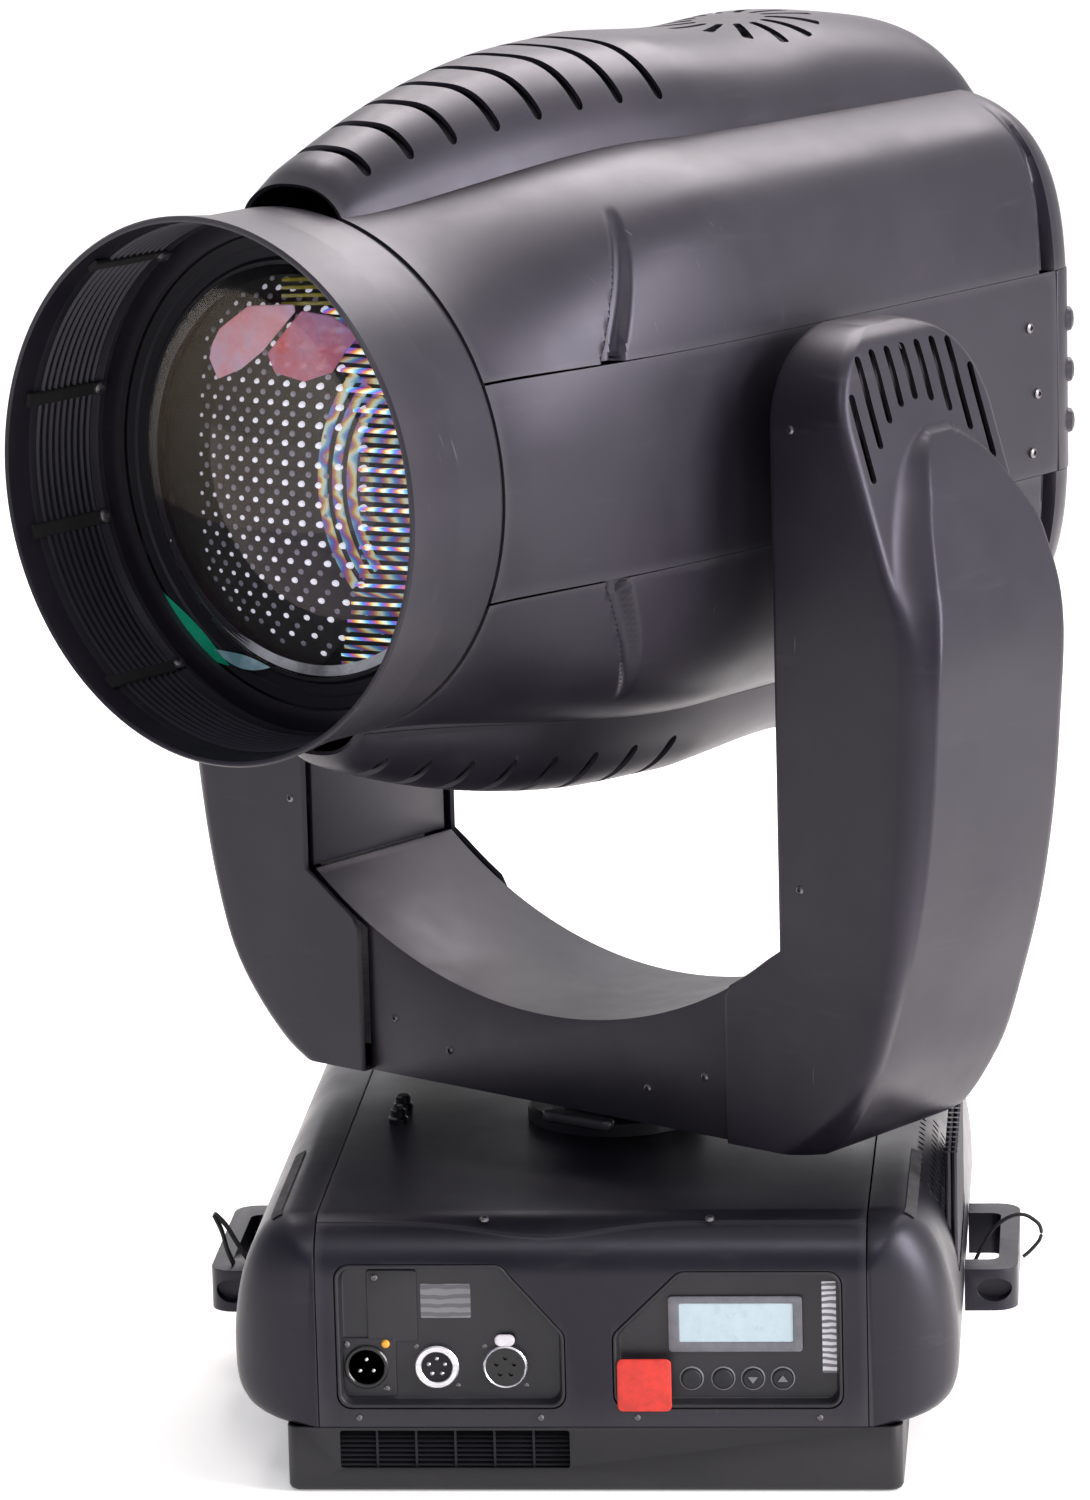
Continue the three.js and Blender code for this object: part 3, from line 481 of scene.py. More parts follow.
def lettering_free_label(name, paper, bars, across):
    """A label whose print is only plain bars, too fine to read."""
    n = Nodes(name)
    wave = n.tree.nodes.new("ShaderNodeTexWave")
    wave.wave_type = "BANDS"
    wave.bands_direction = "Z"
    wave.inputs["Scale"].default_value = across
    wave.inputs["Distortion"].default_value = 3.0
    wave.inputs["Detail"].default_value = 2.0
    n.link(n.place, wave.inputs["Vector"])
    lines = n.ramp(wave.outputs["Fac"], (0.55, paper), (0.6, bars))
    n.link(lines, n.shader.inputs["Base Color"])
    n.cloudy("Roughness", (60.0,), 0.4, 0.55)
    return n.material


def clear_glass(name, tint, film):
    """Polished glass with an antireflection film, whose faint smears show in the gloss."""
    n = Nodes(name)
    n.cloudy("Roughness", (6.0, 5.0, 0.6), 0.0, 0.035, (0.4, 0.8))
    n.cloudy("Base Color", (5.0, 3.0, 0.5), tint, (1.0, 1.0, 1.0))
    n.set("Transmission Weight", 1.0)
    n.set("IOR", 1.5)
    n.set("Specular IOR Level", 0.25)
    n.set("Thin Film Thickness", film)
    n.set("Thin Film IOR", 1.36)
    return n.material


def reach_from(n, x, z):
    """How far each point is from one point of the lens array, in metres."""
    node = n.tree.nodes.new("ShaderNodeVectorMath")
    node.operation = "DISTANCE"
    node.inputs[1].default_value = HEAD_FRAME @ Vector((x * MM, ARRAY_FRONT * MM, z * MM))
    n.link(n.place, node.inputs[0])
    return node.outputs["Value"]


def with_painted_glow(n, tone, strength):
    """Gives a material a colour that also glows a little: painted light, since the part is no lamp."""
    n.link(tone, n.shader.inputs["Base Color"])
    n.link(tone, n.shader.inputs["Emission Color"])
    n.set("Emission Strength", strength)
    n.cloudy("Roughness", (40.0,), 0.2, 0.35)
    return n.material


def painted_lenslet_highlight(name, painted_highlight, dim, strength):
    """Painted highlights for the small lenses: a colour that glows, brightest near the prisms and dimmer
    away from them.
    """
    n = Nodes(name)
    tone = n.ramp(reach_from(n, PRISM_CENTRE, -20), (0.08, painted_highlight), (0.12, painted_highlight), (0.19, dim))
    return with_painted_glow(n, tone, strength)


def painted_spectrum(name, gain, strength):
    """Painted split light: glowing bands of colour that repeat round the middle of the prisms."""
    n = Nodes(name)
    ring_count = n.math("MULTIPLY", reach_from(n, PRISM_CENTRE, -6), 1000 / 8.5)
    drift = n.math("MULTIPLY", n.noise(70.0, 1.0, 0.4, ((0.2, 0.2, 1.6), (0.0, 0.0, 0.0))), 2.2)
    phase = n.math("FRACT", n.math("ADD", ring_count, drift), 0.0)
    tones = ((0.0, (0.8, 0.6, 0.12)), (0.16, (0.6, 0.16, 0.1)), (0.3, (0.3, 0.1, 0.4)),
             (0.46, (0.1, 0.16, 0.7)), (0.62, (0.12, 0.5, 0.62)), (0.8, (0.8, 0.85, 0.8)),
             (1.0, (0.85, 0.75, 0.25)))
    bands = n.ramp(phase, *[(at, tuple(gain * channel for channel in tone)) for at, tone in tones])
    return with_painted_glow(n, bands, strength)


def tint_with_painted_glow(name, low, high, alpha):
    """Thin coloured glass, clouded, that also glows a little as painted light so that it shows in front of
    the dark inside.
    """
    n = Nodes(name)
    tone = n.ramp(n.noise(26.0, 4.0, 0.6), (0.35, low), (0.65, high))
    n.cloudy("Alpha", (15.0,), alpha, min(1.0, alpha + 0.15))
    return with_painted_glow(n, tone, 0.15)


BLACK = moulded_plastic("black_moulding", (0.0065, 0.0058, 0.0095), (0.015, 0.0125, 0.0185), 0.36, 0.6)
BASE_BLACK = moulded_plastic("base_moulding", (0.004, 0.004, 0.006), (0.01, 0.0095, 0.0135), 0.33, 0.8)
MATTE_BLACK = moulded_plastic("matte_moulding", (0.004, 0.004, 0.005), (0.009, 0.0085, 0.01), 0.6, 0.15)
LINING = moulded_plastic("hood_lining", (0.004, 0.004, 0.006), (0.009, 0.0085, 0.012), 0.4, 0.3)
# Near-black that paints the shade of the slots inside the hood.
SLOT_PAINTED_SHADE = rubbery("slot_painted_shade", (0.001, 0.001, 0.001), (0.003, 0.003, 0.003), 0.85)
PAINT = painted_metal("black_paint", (0.006, 0.006, 0.007), (0.012, 0.011, 0.013), 0.42)
PANEL = painted_metal("panel_paint", (0.01, 0.0095, 0.012), (0.017, 0.016, 0.02), 0.42)
STEEL = bright_metal("steel", (0.6, 0.6, 0.62), 0.28)
SCREW_STEEL = bright_metal("screw_steel", (0.22, 0.21, 0.22), 0.35)
ALUMINIUM = bright_metal("aluminium", (0.72, 0.72, 0.74), 0.33)
RUBBER = rubbery("rubber", (0.008, 0.008, 0.009), (0.018, 0.018, 0.02))
BOARD = printed("circuit_board", (0.03, 0.16, 0.07), 0.35)
WHITE = printed("white_plastic", (0.78, 0.74, 0.78), 0.35)
BEZEL = printed("display_bezel", (0.16, 0.16, 0.18), 0.4)
SCREEN = printed("display_screen", (0.5, 0.62, 0.66), 0.25, 0.02)
AMBER = printed("amber_lamp", (0.9, 0.42, 0.04), 0.3, 0.03)
RED = printed("red_tag", (0.7, 0.035, 0.02), 0.35)
LINE_GREY = printed("line_print", (0.2, 0.2, 0.22), 0.5)
GLOSS_BLACK = printed("gloss_black", (0.006, 0.006, 0.007), 0.14)
GREY_LABEL = lettering_free_label("grey_label", (0.2, 0.2, 0.21), (0.11, 0.11, 0.12), 60.0)
BAR_LABEL = lettering_free_label("bar_label", (0.75, 0.73, 0.76), (0.16, 0.16, 0.18), 90.0)
GRIT = rubbery("grit", (0.012, 0.012, 0.013), (0.05, 0.048, 0.05), 0.75)
WEBBING = rubbery("webbing", (0.006, 0.006, 0.007), (0.03, 0.028, 0.035), 0.6)
BRIGHT_RING = bright_metal("bright_ring", (0.85, 0.84, 0.87), 0.2)
GLASS = clear_glass("coated_glass", (0.96, 0.98, 1.0), 110.0)
COLOUR_GLASS = clear_glass("colour_glass", (0.5, 0.3, 0.9), 380.0)
# Glowing painted highlights on the small lenses and faint facets of the lens array.
LENSLET_PAINTED_HIGHLIGHT = painted_lenslet_highlight("painted_lenslet_highlight", (0.9, 0.88, 0.98), (0.12, 0.12, 0.13), 0.6)
FACET_PAINTED_HIGHLIGHT = painted_lenslet_highlight("facet_painted_highlight", (0.3, 0.29, 0.36), (0.05, 0.05, 0.055), 0.15)
ARRAY_BLACK = rubbery("array_black", (0.004, 0.006, 0.005), (0.012, 0.015, 0.013), 0.7)
# Glowing painted split light for the prisms, the valleys between them and the curved bands.
PAINTED_SPECTRUM = painted_spectrum("painted_spectrum", 1.2, 0.85)
PAINTED_SPECTRUM_DIM = painted_spectrum("painted_spectrum_dim", 0.6, 0.5)
# The flags and strips glow a little: painted light over their own tint.
FLAG_PALE = tint_with_painted_glow("flag_pale", (0.8, 0.3, 0.36), (0.66, 0.6, 0.82), 0.82)
FLAG_PINK = tint_with_painted_glow("flag_pink", (0.78, 0.1, 0.13), (0.5, 0.34, 0.6), 0.6)
OLIVE = tint_with_painted_glow("olive_strips", (0.1, 0.09, 0.005), (0.32, 0.27, 0.02), 0.85)
# Glowing painted reflections on the lens holder.
PAINTED_GREEN_GLINT = tint_with_painted_glow("painted_coating_glint", (0.0, 0.17, 0.09), (0.01, 0.3, 0.18), 0.85)
PAINTED_PALE_GLINT = tint_with_painted_glow("painted_pale_glint", (0.12, 0.24, 0.27), (0.42, 0.55, 0.62), 0.8)
# A glowing painted highlight on the lens seat's lower steps.
SEAT_PAINTED_HIGHLIGHT = tint_with_painted_glow("seat_painted_highlight", (0.22, 0.22, 0.24), (0.7, 0.7, 0.73), 0.97)

SLOT_MATERIAL = {
    "black_plastic": BLACK, "black_paint": PAINT, "steel": STEEL, "aluminium": ALUMINIUM,
    "rubber": RUBBER, "circuit_board": BOARD, "panel_paint": PANEL, "display_bezel": BEZEL,
    "white_plastic": WHITE, "clear_glass": GLASS, "colour_glass": COLOUR_GLASS,
}


def dress_cad_nodes():
    """Gives each CAD node the material of its slot, for the nodes that no piece replaces."""
    slot_of = {entry["node"]: entry["material_slot"] for entry in frame["record"]["subparts"]}
    for name, obj in frame["nodes"].items():
        obj.data.materials.clear()
        obj.data.materials.append(SLOT_MATERIAL[slot_of[name]])


# ------------------------------------------------------------------ fasteners

SCREWS = {"base": [], "yoke": [], "head": []}


def screw(body, point, out, radius=3.2):
    """A button-head screw with a six-sided socket, its head standing on the surface."""
    head = [(0.0, 0.0), (0.0, radius), (0.35 * radius, 0.95 * radius), (0.6 * radius, 0.6 * radius),
            (0.62 * radius, 0.5 * radius), (0.2 * radius, 0.46 * radius), (0.2 * radius, 0.0)]
    turn = Vector((0, 0, 1)).rotation_difference(Vector(out)).to_matrix().to_4x4()
    shape = turned("z", head, sides=12, closed=False)
    SCREWS[body].append(moved(shape, Matrix.Translation(point) @ turn))


def make_screws():
    for body, shapes in SCREWS.items():
        piece(f"{body}_screws", together(*shapes), body, SCREW_STEEL, sharp=30)


# ------------------------------------------------------------------ base

def plan_rectangle(width, depth, radius, inset):
    outline = rectangle(inset - width, width - inset, inset - depth, depth - inset)
    return rounded(outline, max(0.5, radius - inset), 5)


def base_tray():
    rows = [(0.0, 2.5), (0.9, 0.9), (2.6, 0.0), (TRAY_HEIGHT, 0.0), (TRAY_HEIGHT, 2.5), (2.6, 2.5)]
    rings = [[(x, y, z) for x, y in plan_rectangle(TRAY_WIDTH, TRAY_DEPTH, 7.0, inset)]
             for z, inset in rows]
    intake = pushed("y", rectangle(-137, -13, 13, 34, 1.5), -230, -200)
    gland = rod("y", 200, 230, 11, GLAND)
    piece("base_tray_skin", lofted(rings), "base", PAINT, ["base_chassis"],
          cuts=[intake, gland], bevel=0.4, segments=2)


def intake_louvres():
    """Slanting slats in a thin frame behind the opening in the tray."""
    slats = [pushed("x", [(-219.0, z), (-218.4, z), (-213.5, z + 3.4), (-214.1, z + 3.4)], -138, -12)
             for z in spaced(13.5, 32.0, 8)]
    frame_bars = [block(x, x + 1.2, -219, -213, 11.5, 35) for x in spaced(-139, -12, 7)]
    piece("intake_louvres", together(*slats, *frame_bars), "base", MATTE_BLACK,
          ["air_intake_grille"])
    piece("intake_filter", block(-140, -10, -212.6, -211.8, 11, 35.5), "base",
          MATTE_BLACK)


def seam_height(x):
    """The joint between the base's front and its top dips a little left of the middle."""
    return 145.5 - 6.0 * math.exp(-((x + 25.0) / 42.0) ** 2)


def connector_outline(inset):
    return rounded([(-138 + inset, 46 + inset), (-14 - inset, 46 + inset),
                    (-14 - inset, 88 - inset * 0.4), (-48 - inset * 0.4, 127 - inset),
                    (-138 + inset, 127 - inset)], 8.0 - inset * 0.6)


def display_outline(inset):
    return rounded([(11 + inset, 46 + inset), (135 - inset, 46 + inset), (135 - inset, 123 - inset),
                    (47 + inset * 0.4, 123 - inset), (11 + inset, 88 - inset * 0.4)],
                   8.0 - inset * 0.6)


def centre_cover():
    half = BASE_SEAM - GAP
    columns = spaced(-half, half, 61)
    round_y, round_z = BASE_EDGE - TRAY_DEPTH, BASE_TOP - BASE_EDGE

    def seam_angle(x):
        return math.degrees(math.asin((seam_height(x) - round_z) / BASE_EDGE))

    def front_row(x):
        lean = seam_angle(x)
        edge = arc(round_y, round_z, BASE_EDGE, 180, 180 - lean, 12)
        rows = [(-TRAY_DEPTH, z) for z in spaced(TRAY_HEIGHT + GAP, round_z, 5)[:-1]] + edge
        y, z = rows[-1]
        return [(x, y, z) for y, z in rows] + [(x, y + 1.2, z - 1.4)]

    def top_row(x):
        lean = seam_angle(x)
        edge = arc(round_y, round_z, BASE_EDGE, 180 - lean - 2.6, 90, 8)
        y, z = edge[0]
        back = arc(-round_y, round_z, BASE_EDGE, 90, 0, 10)
        rows = [(y - 0.4, z - 1.8)] + edge + [(at, BASE_TOP) for at in spaced(round_y, -round_y, 20)[1:-1]]
        rows += back + [(TRAY_DEPTH, z) for z in spaced(round_z, TRAY_HEIGHT + GAP, 5)[1:]]
        return [(x, y, z) for y, z in rows]

    openings = together(pushed("y", connector_outline(0), -230, -205),
                        pushed("y", display_outline(0), -230, -205))
    piece("front_fascia", sheet([front_row(x) for x in columns]), "base", BASE_BLACK,
          ["base_centre_cover"], thick=BASE_SKIN, cuts=[openings])
    hub_hole = rod("z", 120, 160, 48, sides=64)
    piece("top_cover", sheet([top_row(x) for x in columns]), "base", BASE_BLACK,
          ["base_centre_cover"], thick=BASE_SKIN, cuts=[hub_hole])
    for x in (-57, 64):
        screw("base", (x, -206, BASE_TOP - 1.6), (0, -0.3, 1), 2.6)


def top_edge_height(y):
    into = abs(y) - (TRAY_DEPTH - BASE_EDGE)
    if into <= 0:
        return BASE_TOP
    return BASE_TOP - BASE_EDGE + math.sqrt(max(0.0, BASE_EDGE ** 2 - into ** 2))


def side_cover_ring(side, y):
    """A side cover's section: a short flat top, an elliptic shoulder and a fuller lower half."""
    into = min(abs(y) - (TRAY_DEPTH - SIDE_CORNER), SIDE_CORNER * 0.995)
    full = math.sqrt(1 - (into / SIDE_CORNER) ** 2) if into > 0 else 1.0
    reach = (SIDE_REACH - BASE_SEAM) * full
    top, bottom = top_edge_height(y), TRAY_HEIGHT + GAP
    edge = BASE_SEAM + GAP
    points = [(edge, bottom), (edge + 2, bottom)]
    for a in spaced(-90, 90, 37):
        c, s = abs(math.cos(math.radians(a))), abs(math.sin(math.radians(a)))
        if a > 0:
            points.append((BASE_SEAM + reach * (0.3 + 0.7 * c), SIDE_MIDDLE + (top - SIDE_MIDDLE) * s))
        else:
            points.append((BASE_SEAM + reach * (0.3 + 0.7 * c ** 0.6),
                           SIDE_MIDDLE - (SIDE_MIDDLE - bottom) * s ** 0.6))
    points += [(edge + 1.6, top), (edge + 0.4, top - 0.5), (edge, top - 1.6)]
    return [(side * x, y, z) for x, z in points]


def vent_holes():
    """Staggered rows of small holes down the right side cover's shoulder."""
    holes = []
    for row in range(7):
        drop = 0.05 + 0.09 * row
        x = BASE_SEAM + (SIDE_REACH - BASE_SEAM) * (0.3 + 0.7 * math.sqrt(1 - (1 - drop) ** 2))
        holes += [rod("z", 90, 160, 1.9, (x, -120 + column * 10 + (row % 2) * 5), 8)
                  for column in range(14)]
    return together(*holes)


def side_cover(side, label):
    ends = [221.7, 220.5, 218.5, 215.5, 211, 205.5, 199, 192, 186]
    stations = [-y for y in ends] + spaced(-170, 170, 18) + ends[::-1]
    shape = lofted([side_cover_ring(side, y) for y in stations], wrap=False)
    piece(f"side_cover_{label}", shape, "base", BASE_BLACK,
          [f"base_side_cover_{label}"], thick=BASE_SKIN, cuts=[vent_holes()] if side > 0 else ())


def grip_patch(side, label):
    """The rough anti-slip patch moulded on a side cover's front top corner."""
    rows = []
    for y in spaced(-196, -72, 32):
        low = top_edge_height(y) - 6
        flat = [point for point in side_cover_ring(side, y) if point[2] > low and abs(point[0]) > 151]
        rows.append([(x, y, z + 0.35) for x, y, z in flat[:-2][-9:]])
    piece(f"grip_patch_{label}", sheet(rows), "base", GRIT, thick=0.5, inward=1.0)


def panel_tray(name, outline_at, node):
    """A sunk tray: a rounded lip that stands at the front, sloping walls, and a flat floor."""
    rows = [(-212, 0.4), (-221.0, 0.4), (-221.7, 0.8), (-221.9, 1.5), (-221.7, 2.2), (-221.0, 2.6),
            (PANEL_FLOOR - 0.8, 3.6), (PANEL_FLOOR - 0.2, 3.9), (PANEL_FLOOR, 4.6)]
    rings = [[(x, y, z) for x, z in outline_at(inset)] for y, inset in rows]
    piece(name, lofted(rings, caps="end"), "base", PANEL, [node], sharp=50)


def plate(x0, x1, z0, z1, thickness, radius=2.0):
    return pushed("y", rectangle(x0, x1, z0, z1, radius), PANEL_FLOOR - thickness, PANEL_FLOOR + 0.2)


def ring_shape(x, z, outer, inner, front):
    profile = [(PANEL_FLOOR, inner), (front + 0.5, inner), (front, inner + 0.5), (front, outer - 0.7),
               (front + 0.7, outer), (PANEL_FLOOR, outer)]
    return turned("y", profile, (x, z), 40)


def socket(name, rim, x, inner, core, front, metal, inside, node, cuts=()):
    """A round cable socket: a metal rim round a plastic core."""
    shell = ring_shape(x, CONNECTOR_HEIGHT, CONNECTOR_RADIUS, inner, -217.4)
    piece(f"{name}_{rim}", shell, "base", metal, [node])
    face = rod("y", PANEL_FLOOR, front, core, (x, CONNECTOR_HEIGHT), 40)
    piece(f"{name}_core", face, "base", inside, cuts=cuts)


def socket_pins(x, z, count, spread, front):
    profile = [(PANEL_FLOOR, 0), (PANEL_FLOOR, 1.1), (front + 0.6, 1.1), (front, 0.5), (front, 0)]
    return together(*[turned("y", profile, centre, 12, False)
                      for centre in arc(x, z, spread, 90, 450, count)[:-1]])


def connector_panel():
    panel_tray("connector_tray", connector_outline, "connector_panel")
    aux, data_in, data_out = CONNECTORS
    z = CONNECTOR_HEIGHT
    access = together(plate(aux - 14, aux + 16, 51, 84, 1.2), plate(aux + 1, aux + 28, 82, 122, 1.0))
    piece("access_plate", access, "base", PANEL, bevel=0.5)
    socket("aux", "shell", aux, 9.6, 9.6, -215.2, GLOSS_BLACK, GLOSS_BLACK, "aux_connector")
    piece("aux_pins", socket_pins(aux, z, 3, 4.2, -217.0), "base", STEEL)
    socket("data_in", "ring", data_in, 8.4, 8.5, -215.4, BRIGHT_RING, MATTE_BLACK,
           "data_input_connector")
    piece("data_in_pins", socket_pins(data_in, z, 5, 4.6, -216.8), "base", STEEL)
    holes = together(*[rod("y", -220, -214.5, 1.3, at, 10) for at in arc(data_out, z, 5, 90, 378, 4)])
    socket("data_out", "ring", data_out, 10.6, 10.6, -216.2, BRIGHT_RING, GLOSS_BLACK,
           "data_output_connector", [holes])
    tab = pushed("y", rectangle(-52.4, -41.6, 79.8, 86.2, 3.0), -217.3, -215.4)
    piece("release_tab", tab, "release_tab", WHITE, ["connector_release_tab"],
          bevel=0.7)
    lamp = [(PANEL_FLOOR, 0), (PANEL_FLOOR, 2.3), (-215.6, 2.3), (-216.6, 1.6), (-217.0, 0)]
    piece("power_lamp", turned("y", lamp, (aux + 10.5, 80.7), 20, False), "base",
          AMBER)
    piece("rating_label", plate(-92, -65, 95, 114, 0.25, 0.8), "base", GREY_LABEL)
    for x, height in ((aux - 10.5, 80.5), (aux + 10.5, 55.5), (aux + 5.5, 118)):
        screw("base", (x, PANEL_FLOOR - 1.0, height), (0, -1, 0), 1.9)
    for x in (data_in, data_out):
        for dx, dz in ((-11, 11), (11, -11)):
            screw("base", (x + dx, PANEL_FLOOR + 0.2, z + dz), (0, -1, 0), 1.4)


def arrow(x, z, up):
    tip = 2.6 * up
    return pushed("y", [(x - 2.6, z - tip / 2), (x + 2.6, z - tip / 2), (x, z + tip / 2 + up)],
                  -217.0, -216.4)


def display_panel():
    panel_tray("display_tray", display_outline, "display_panel")
    window = pushed("y", rectangle(47, 108, 81.5, 103, 1.0), -219, -214.6)
    bezel = pushed("y", rectangle(41, 113, 76, 107, 2.0), -215.6, PANEL_FLOOR)
    piece("display_bezel", bezel, "base", BEZEL, ["display_module"], cuts=[window],
          bevel=0.5)
    piece("display_screen", block(46.5, 108.5, -215.0, -214.7, 81, 103.5), "base",
          SCREEN)
    for number, x in enumerate(BUTTONS, start=1):
        cap = [(-209, 0), (-209, 5.3), (-215.8, 5.3), (-216.4, 4.8), (-216.4, 0)]
        piece(f"menu_cap_{number}", turned("y", cap, (x, BUTTON_HEIGHT), 32, False),
              f"button_{number}", RUBBER, [f"menu_button_{number}"])
    rings = [ring_shape(x, BUTTON_HEIGHT, 6.6, 5.9, -214.9) for x in BUTTONS]
    piece("button_rings", together(*rings), "base", LINE_GREY)
    piece("arrow_down", arrow(BUTTONS[2], BUTTON_HEIGHT, -1), "button_3", LINE_GREY)
    piece("arrow_up", arrow(BUTTONS[3], BUTTON_HEIGHT, 1), "button_4", LINE_GREY)
    piece("serial_label", plate(123.5, 132, 64, 115, 0.25, 0.6), "base", BAR_LABEL)
    tag = pushed("y", rectangle(13.4, 42.6, 45, 74.2, 3.0), -223.2, -221.7)
    piece("red_tag", tag, "base", RED, bevel=0.6)
    for x in (24.0, -28.0, 122.0, -126.0):
        screw("base", (x, -TRAY_DEPTH, 41.5), (0, -1, 0), 1.7)


def handle(side, label):
    """A moulded carrying handle: two end blocks and a rounded grip, with a scoop in its front end."""
    half, inner, outer = HANDLE_HALF, HANDLE_INNER, HANDLE_OUTER
    outline = [(inner, -half)] + arc(outer - 13, 13 - half, 13, -90, 0, 8)
    outline += arc(outer - 13, half - 13, 13, 0, 90, 8) + [(inner, half)]
    body = pushed("z", outline, HANDLE_BOTTOM, HANDLE_TOP)
    gap_outer, gap_half = outer - HANDLE_GRIP, half - HANDLE_END
    gap = rectangle(inner - 30, gap_outer, -gap_half, gap_half, 6.0)
    opening = pushed("z", gap, HANDLE_BOTTOM - 5, HANDLE_TOP + 5)
    oval = [(213 + 9.5 * c, 65 + 6.5 * s) for c, s in arc(0, 0, 1, 0, 350, 35)]
    scoop = pushed("y", oval, -half - 3, -half + 9)
    body, opening, scoop = on_side(side, body, opening, scoop)
    piece(f"handle_grip_{label}", body, "base", BASE_BLACK, [f"handle_{label}"],
          cuts=[opening, scoop], bevel=3.2, segments=4, sharp=50)


def strap():
    """A folded strip of webbing left tied to the left handle."""
    def strip(points, width):
        return sheet([[(x, y - width / 2, z), (x, y + width / 2, z)]
                      for x, y, z in smooth_path(points, 5)])
    legs = together(strip([(-214, -52, 76), (-217.5, -54, 86), (-220, -55, 97), (-224, -56, 107)], 7),
                    strip([(-206, -48, 77), (-212, -50, 88), (-218, -53, 100), (-223.5, -56, 107)], 6))
    piece("strap", legs, "base", WEBBING, thick=1.2)


def tether():
    path = smooth_path(TETHER, 3)
    loop = piece("tether_wire", tube_along(path, TETHER_WIRE), "base", RUBBER,
                 ["handle_tether_loop"])


def hub():
    profile = [(2.8, 40), (2.8, 46), (149.3, 46), (149.3, 50), (156.5, 50), (158, 48.5), (158, 28),
               (204, 28), (204, 20), (152, 20), (152, 40)]
    piece("hub_skin", turned("z", profile, sides=96), "base", PAINT, ["pan_hub"])


def cable_gland():
    bore = GLAND_BORE
    body = turned("y", [(210, bore), (210, 10.6), (224, 10.6), (224, bore)], GLAND, 40)
    dome = turned("y", [(230, bore), (230, 11.5), (233, 10.8), (236, 8.0), (236, bore)], GLAND, 40)
    nut = pushed("y", arc(*GLAND, 15, 0, 300, 5), 222.4, 230)
    piece("gland_body", together(body, dome), "base", RUBBER, ["mains_cable_gland"])
    piece("gland_nut", nut, "base", RUBBER, ["mains_cable_gland"],
          cuts=[rod("y", 200, 250, bore, GLAND, 32)], bevel=0.8)


def studs():
    profile = [(BASE_TOP, 0), (BASE_TOP, 5.5), (152, 5.5), (153, 4.2), (156.5, 4.2), (157.5, 3.2),
               (157.5, 0)]
    for number, y in enumerate((12, -17), start=1):
        piece(f"stud_{number}", turned("z", profile, (-122, y), 32, False), "base",
              GLOSS_BLACK)


def build_base():
    base_tray()
    intake_louvres()
    centre_cover()
    for side, label in SIDES:
        side_cover(side, label)
        grip_patch(side, label)
        handle(side, label)
    connector_panel()
    display_panel()
    strap()
    hub()
    cable_gland()
    studs()


# ------------------------------------------------------------------ yoke

# Outer side of an arm by height: the edge of its front face, and the crown of the bulge that grows
# out of its flat, leaning upper face.
FRONT_EDGE = [(168, 176), (178, 192), (196, 212), (219, 230), (242, 240.5), (282, 249.5), (336, 255.5),
              (375, 258), (430, 259), (472, 255.5), (496, 246.5), (520, 238.3), (576, 220), (600, 212.3),
              (611, 207), (617, 198)]
CROWN = [(168, 190), (172, 197), (178, 204), (196, 217), (219, 230), (250, 241), (294, 254), (341, 263),
         (386, 268), (441, 271), (472, 268), (497, 259.5), (521, 249), (546, 238), (562, 228),
         (576, 220), (600, 212.3), (611, 207), (617, 198)]
BULGE_MIDDLE, BULGE_HALF, BULGE_LOW, BULGE_HEIGHT = 8.0, 80.0, 413.0, 149.0
FRONT_FLANK, REAR_FLANK = 20.0, 8.0


def arm_half_depth(z):
    into = z - (ARM_TOP - ARM_ROUND)
    if into <= 0:
        return ARM_DEPTH
    return ARM_DEPTH - ARM_ROUND + math.sqrt(max(0.0, ARM_ROUND ** 2 - into ** 2))


def arm_inner_edge(z):
    if z >= SADDLE_END:
        return ARM_INNER
    drop = SADDLE_RADIUS ** 2 - (SADDLE_CENTRE - z) ** 2
    return max(CROSSBAR_SEAM, math.sqrt(drop)) if drop > 0 else CROSSBAR_SEAM


def arm_outer(y, z):
    edge = curve_through(FRONT_EDGE, z)
    rise = min(1.0, max(0.0, z - BULGE_LOW) / BULGE_HEIGHT)
    half = BULGE_HALF * math.sqrt(1 - rise ** 2)
    narrow = max(0.02, min(1.0, half / 50))
    front = (y - BULGE_MIDDLE + half) / (FRONT_FLANK * narrow)
    rear = (BULGE_MIDDLE + half - y) / (REAR_FLANK * narrow)
    flank = max(0.0, min(1.0, front, rear))
    return edge + (curve_through(CROWN, z) - edge) * flank ** 1.6


def arm_row(z):
    half = arm_half_depth(z)
    radius = min(6.0 + 3.0 * smoothstep(470, 400, z), half * 0.5)
    inner = arm_inner_edge(z)
    row = [(inner, -half + 1.2), (inner + 1.2, -half)]
    flat_end = arm_outer(-half, z) - radius
    row += [(x, -half) for x in spaced(inner + 3, flat_end, 8)]
    bend = [radius * (1 - math.cos(math.radians(a))) for a in spaced(15, 90, 6)]
    corner_at = [-half + depth for depth in bend]
    middle = spaced(radius - half, half - radius, 81)[1:-1]
    for y in corner_at + middle + [-at for at in reversed(corner_at)]:
        into = abs(y) - (half - radius)
        corner = radius - math.sqrt(max(0.0, radius ** 2 - into ** 2)) if into > 0 else 0.0
        row.append((arm_outer(y, z) - corner, y))
    flat_end = arm_outer(half, z) - radius
    row += [(x, half) for x in spaced(flat_end, inner + 3, 8)]
    return row + [(inner + 1.2, half), (inner, half - 1.2)]


def air_slot(y):
    """A slot through the flat upper face of an arm, with round ends."""
    low = 577 - 0.0135 * (y + 1) ** 2
    high = 607 - 20 * (abs(y) / 53) ** 8
    half = 2.5
    outline = [(y + u, v) for u, v in arc(0, high - half, half, 0, 180, 8)]
    outline += [(y + u, v) for u, v in arc(0, low + half, half, 180, 360, 8)]
    return pushed("x", outline, 195, 275)


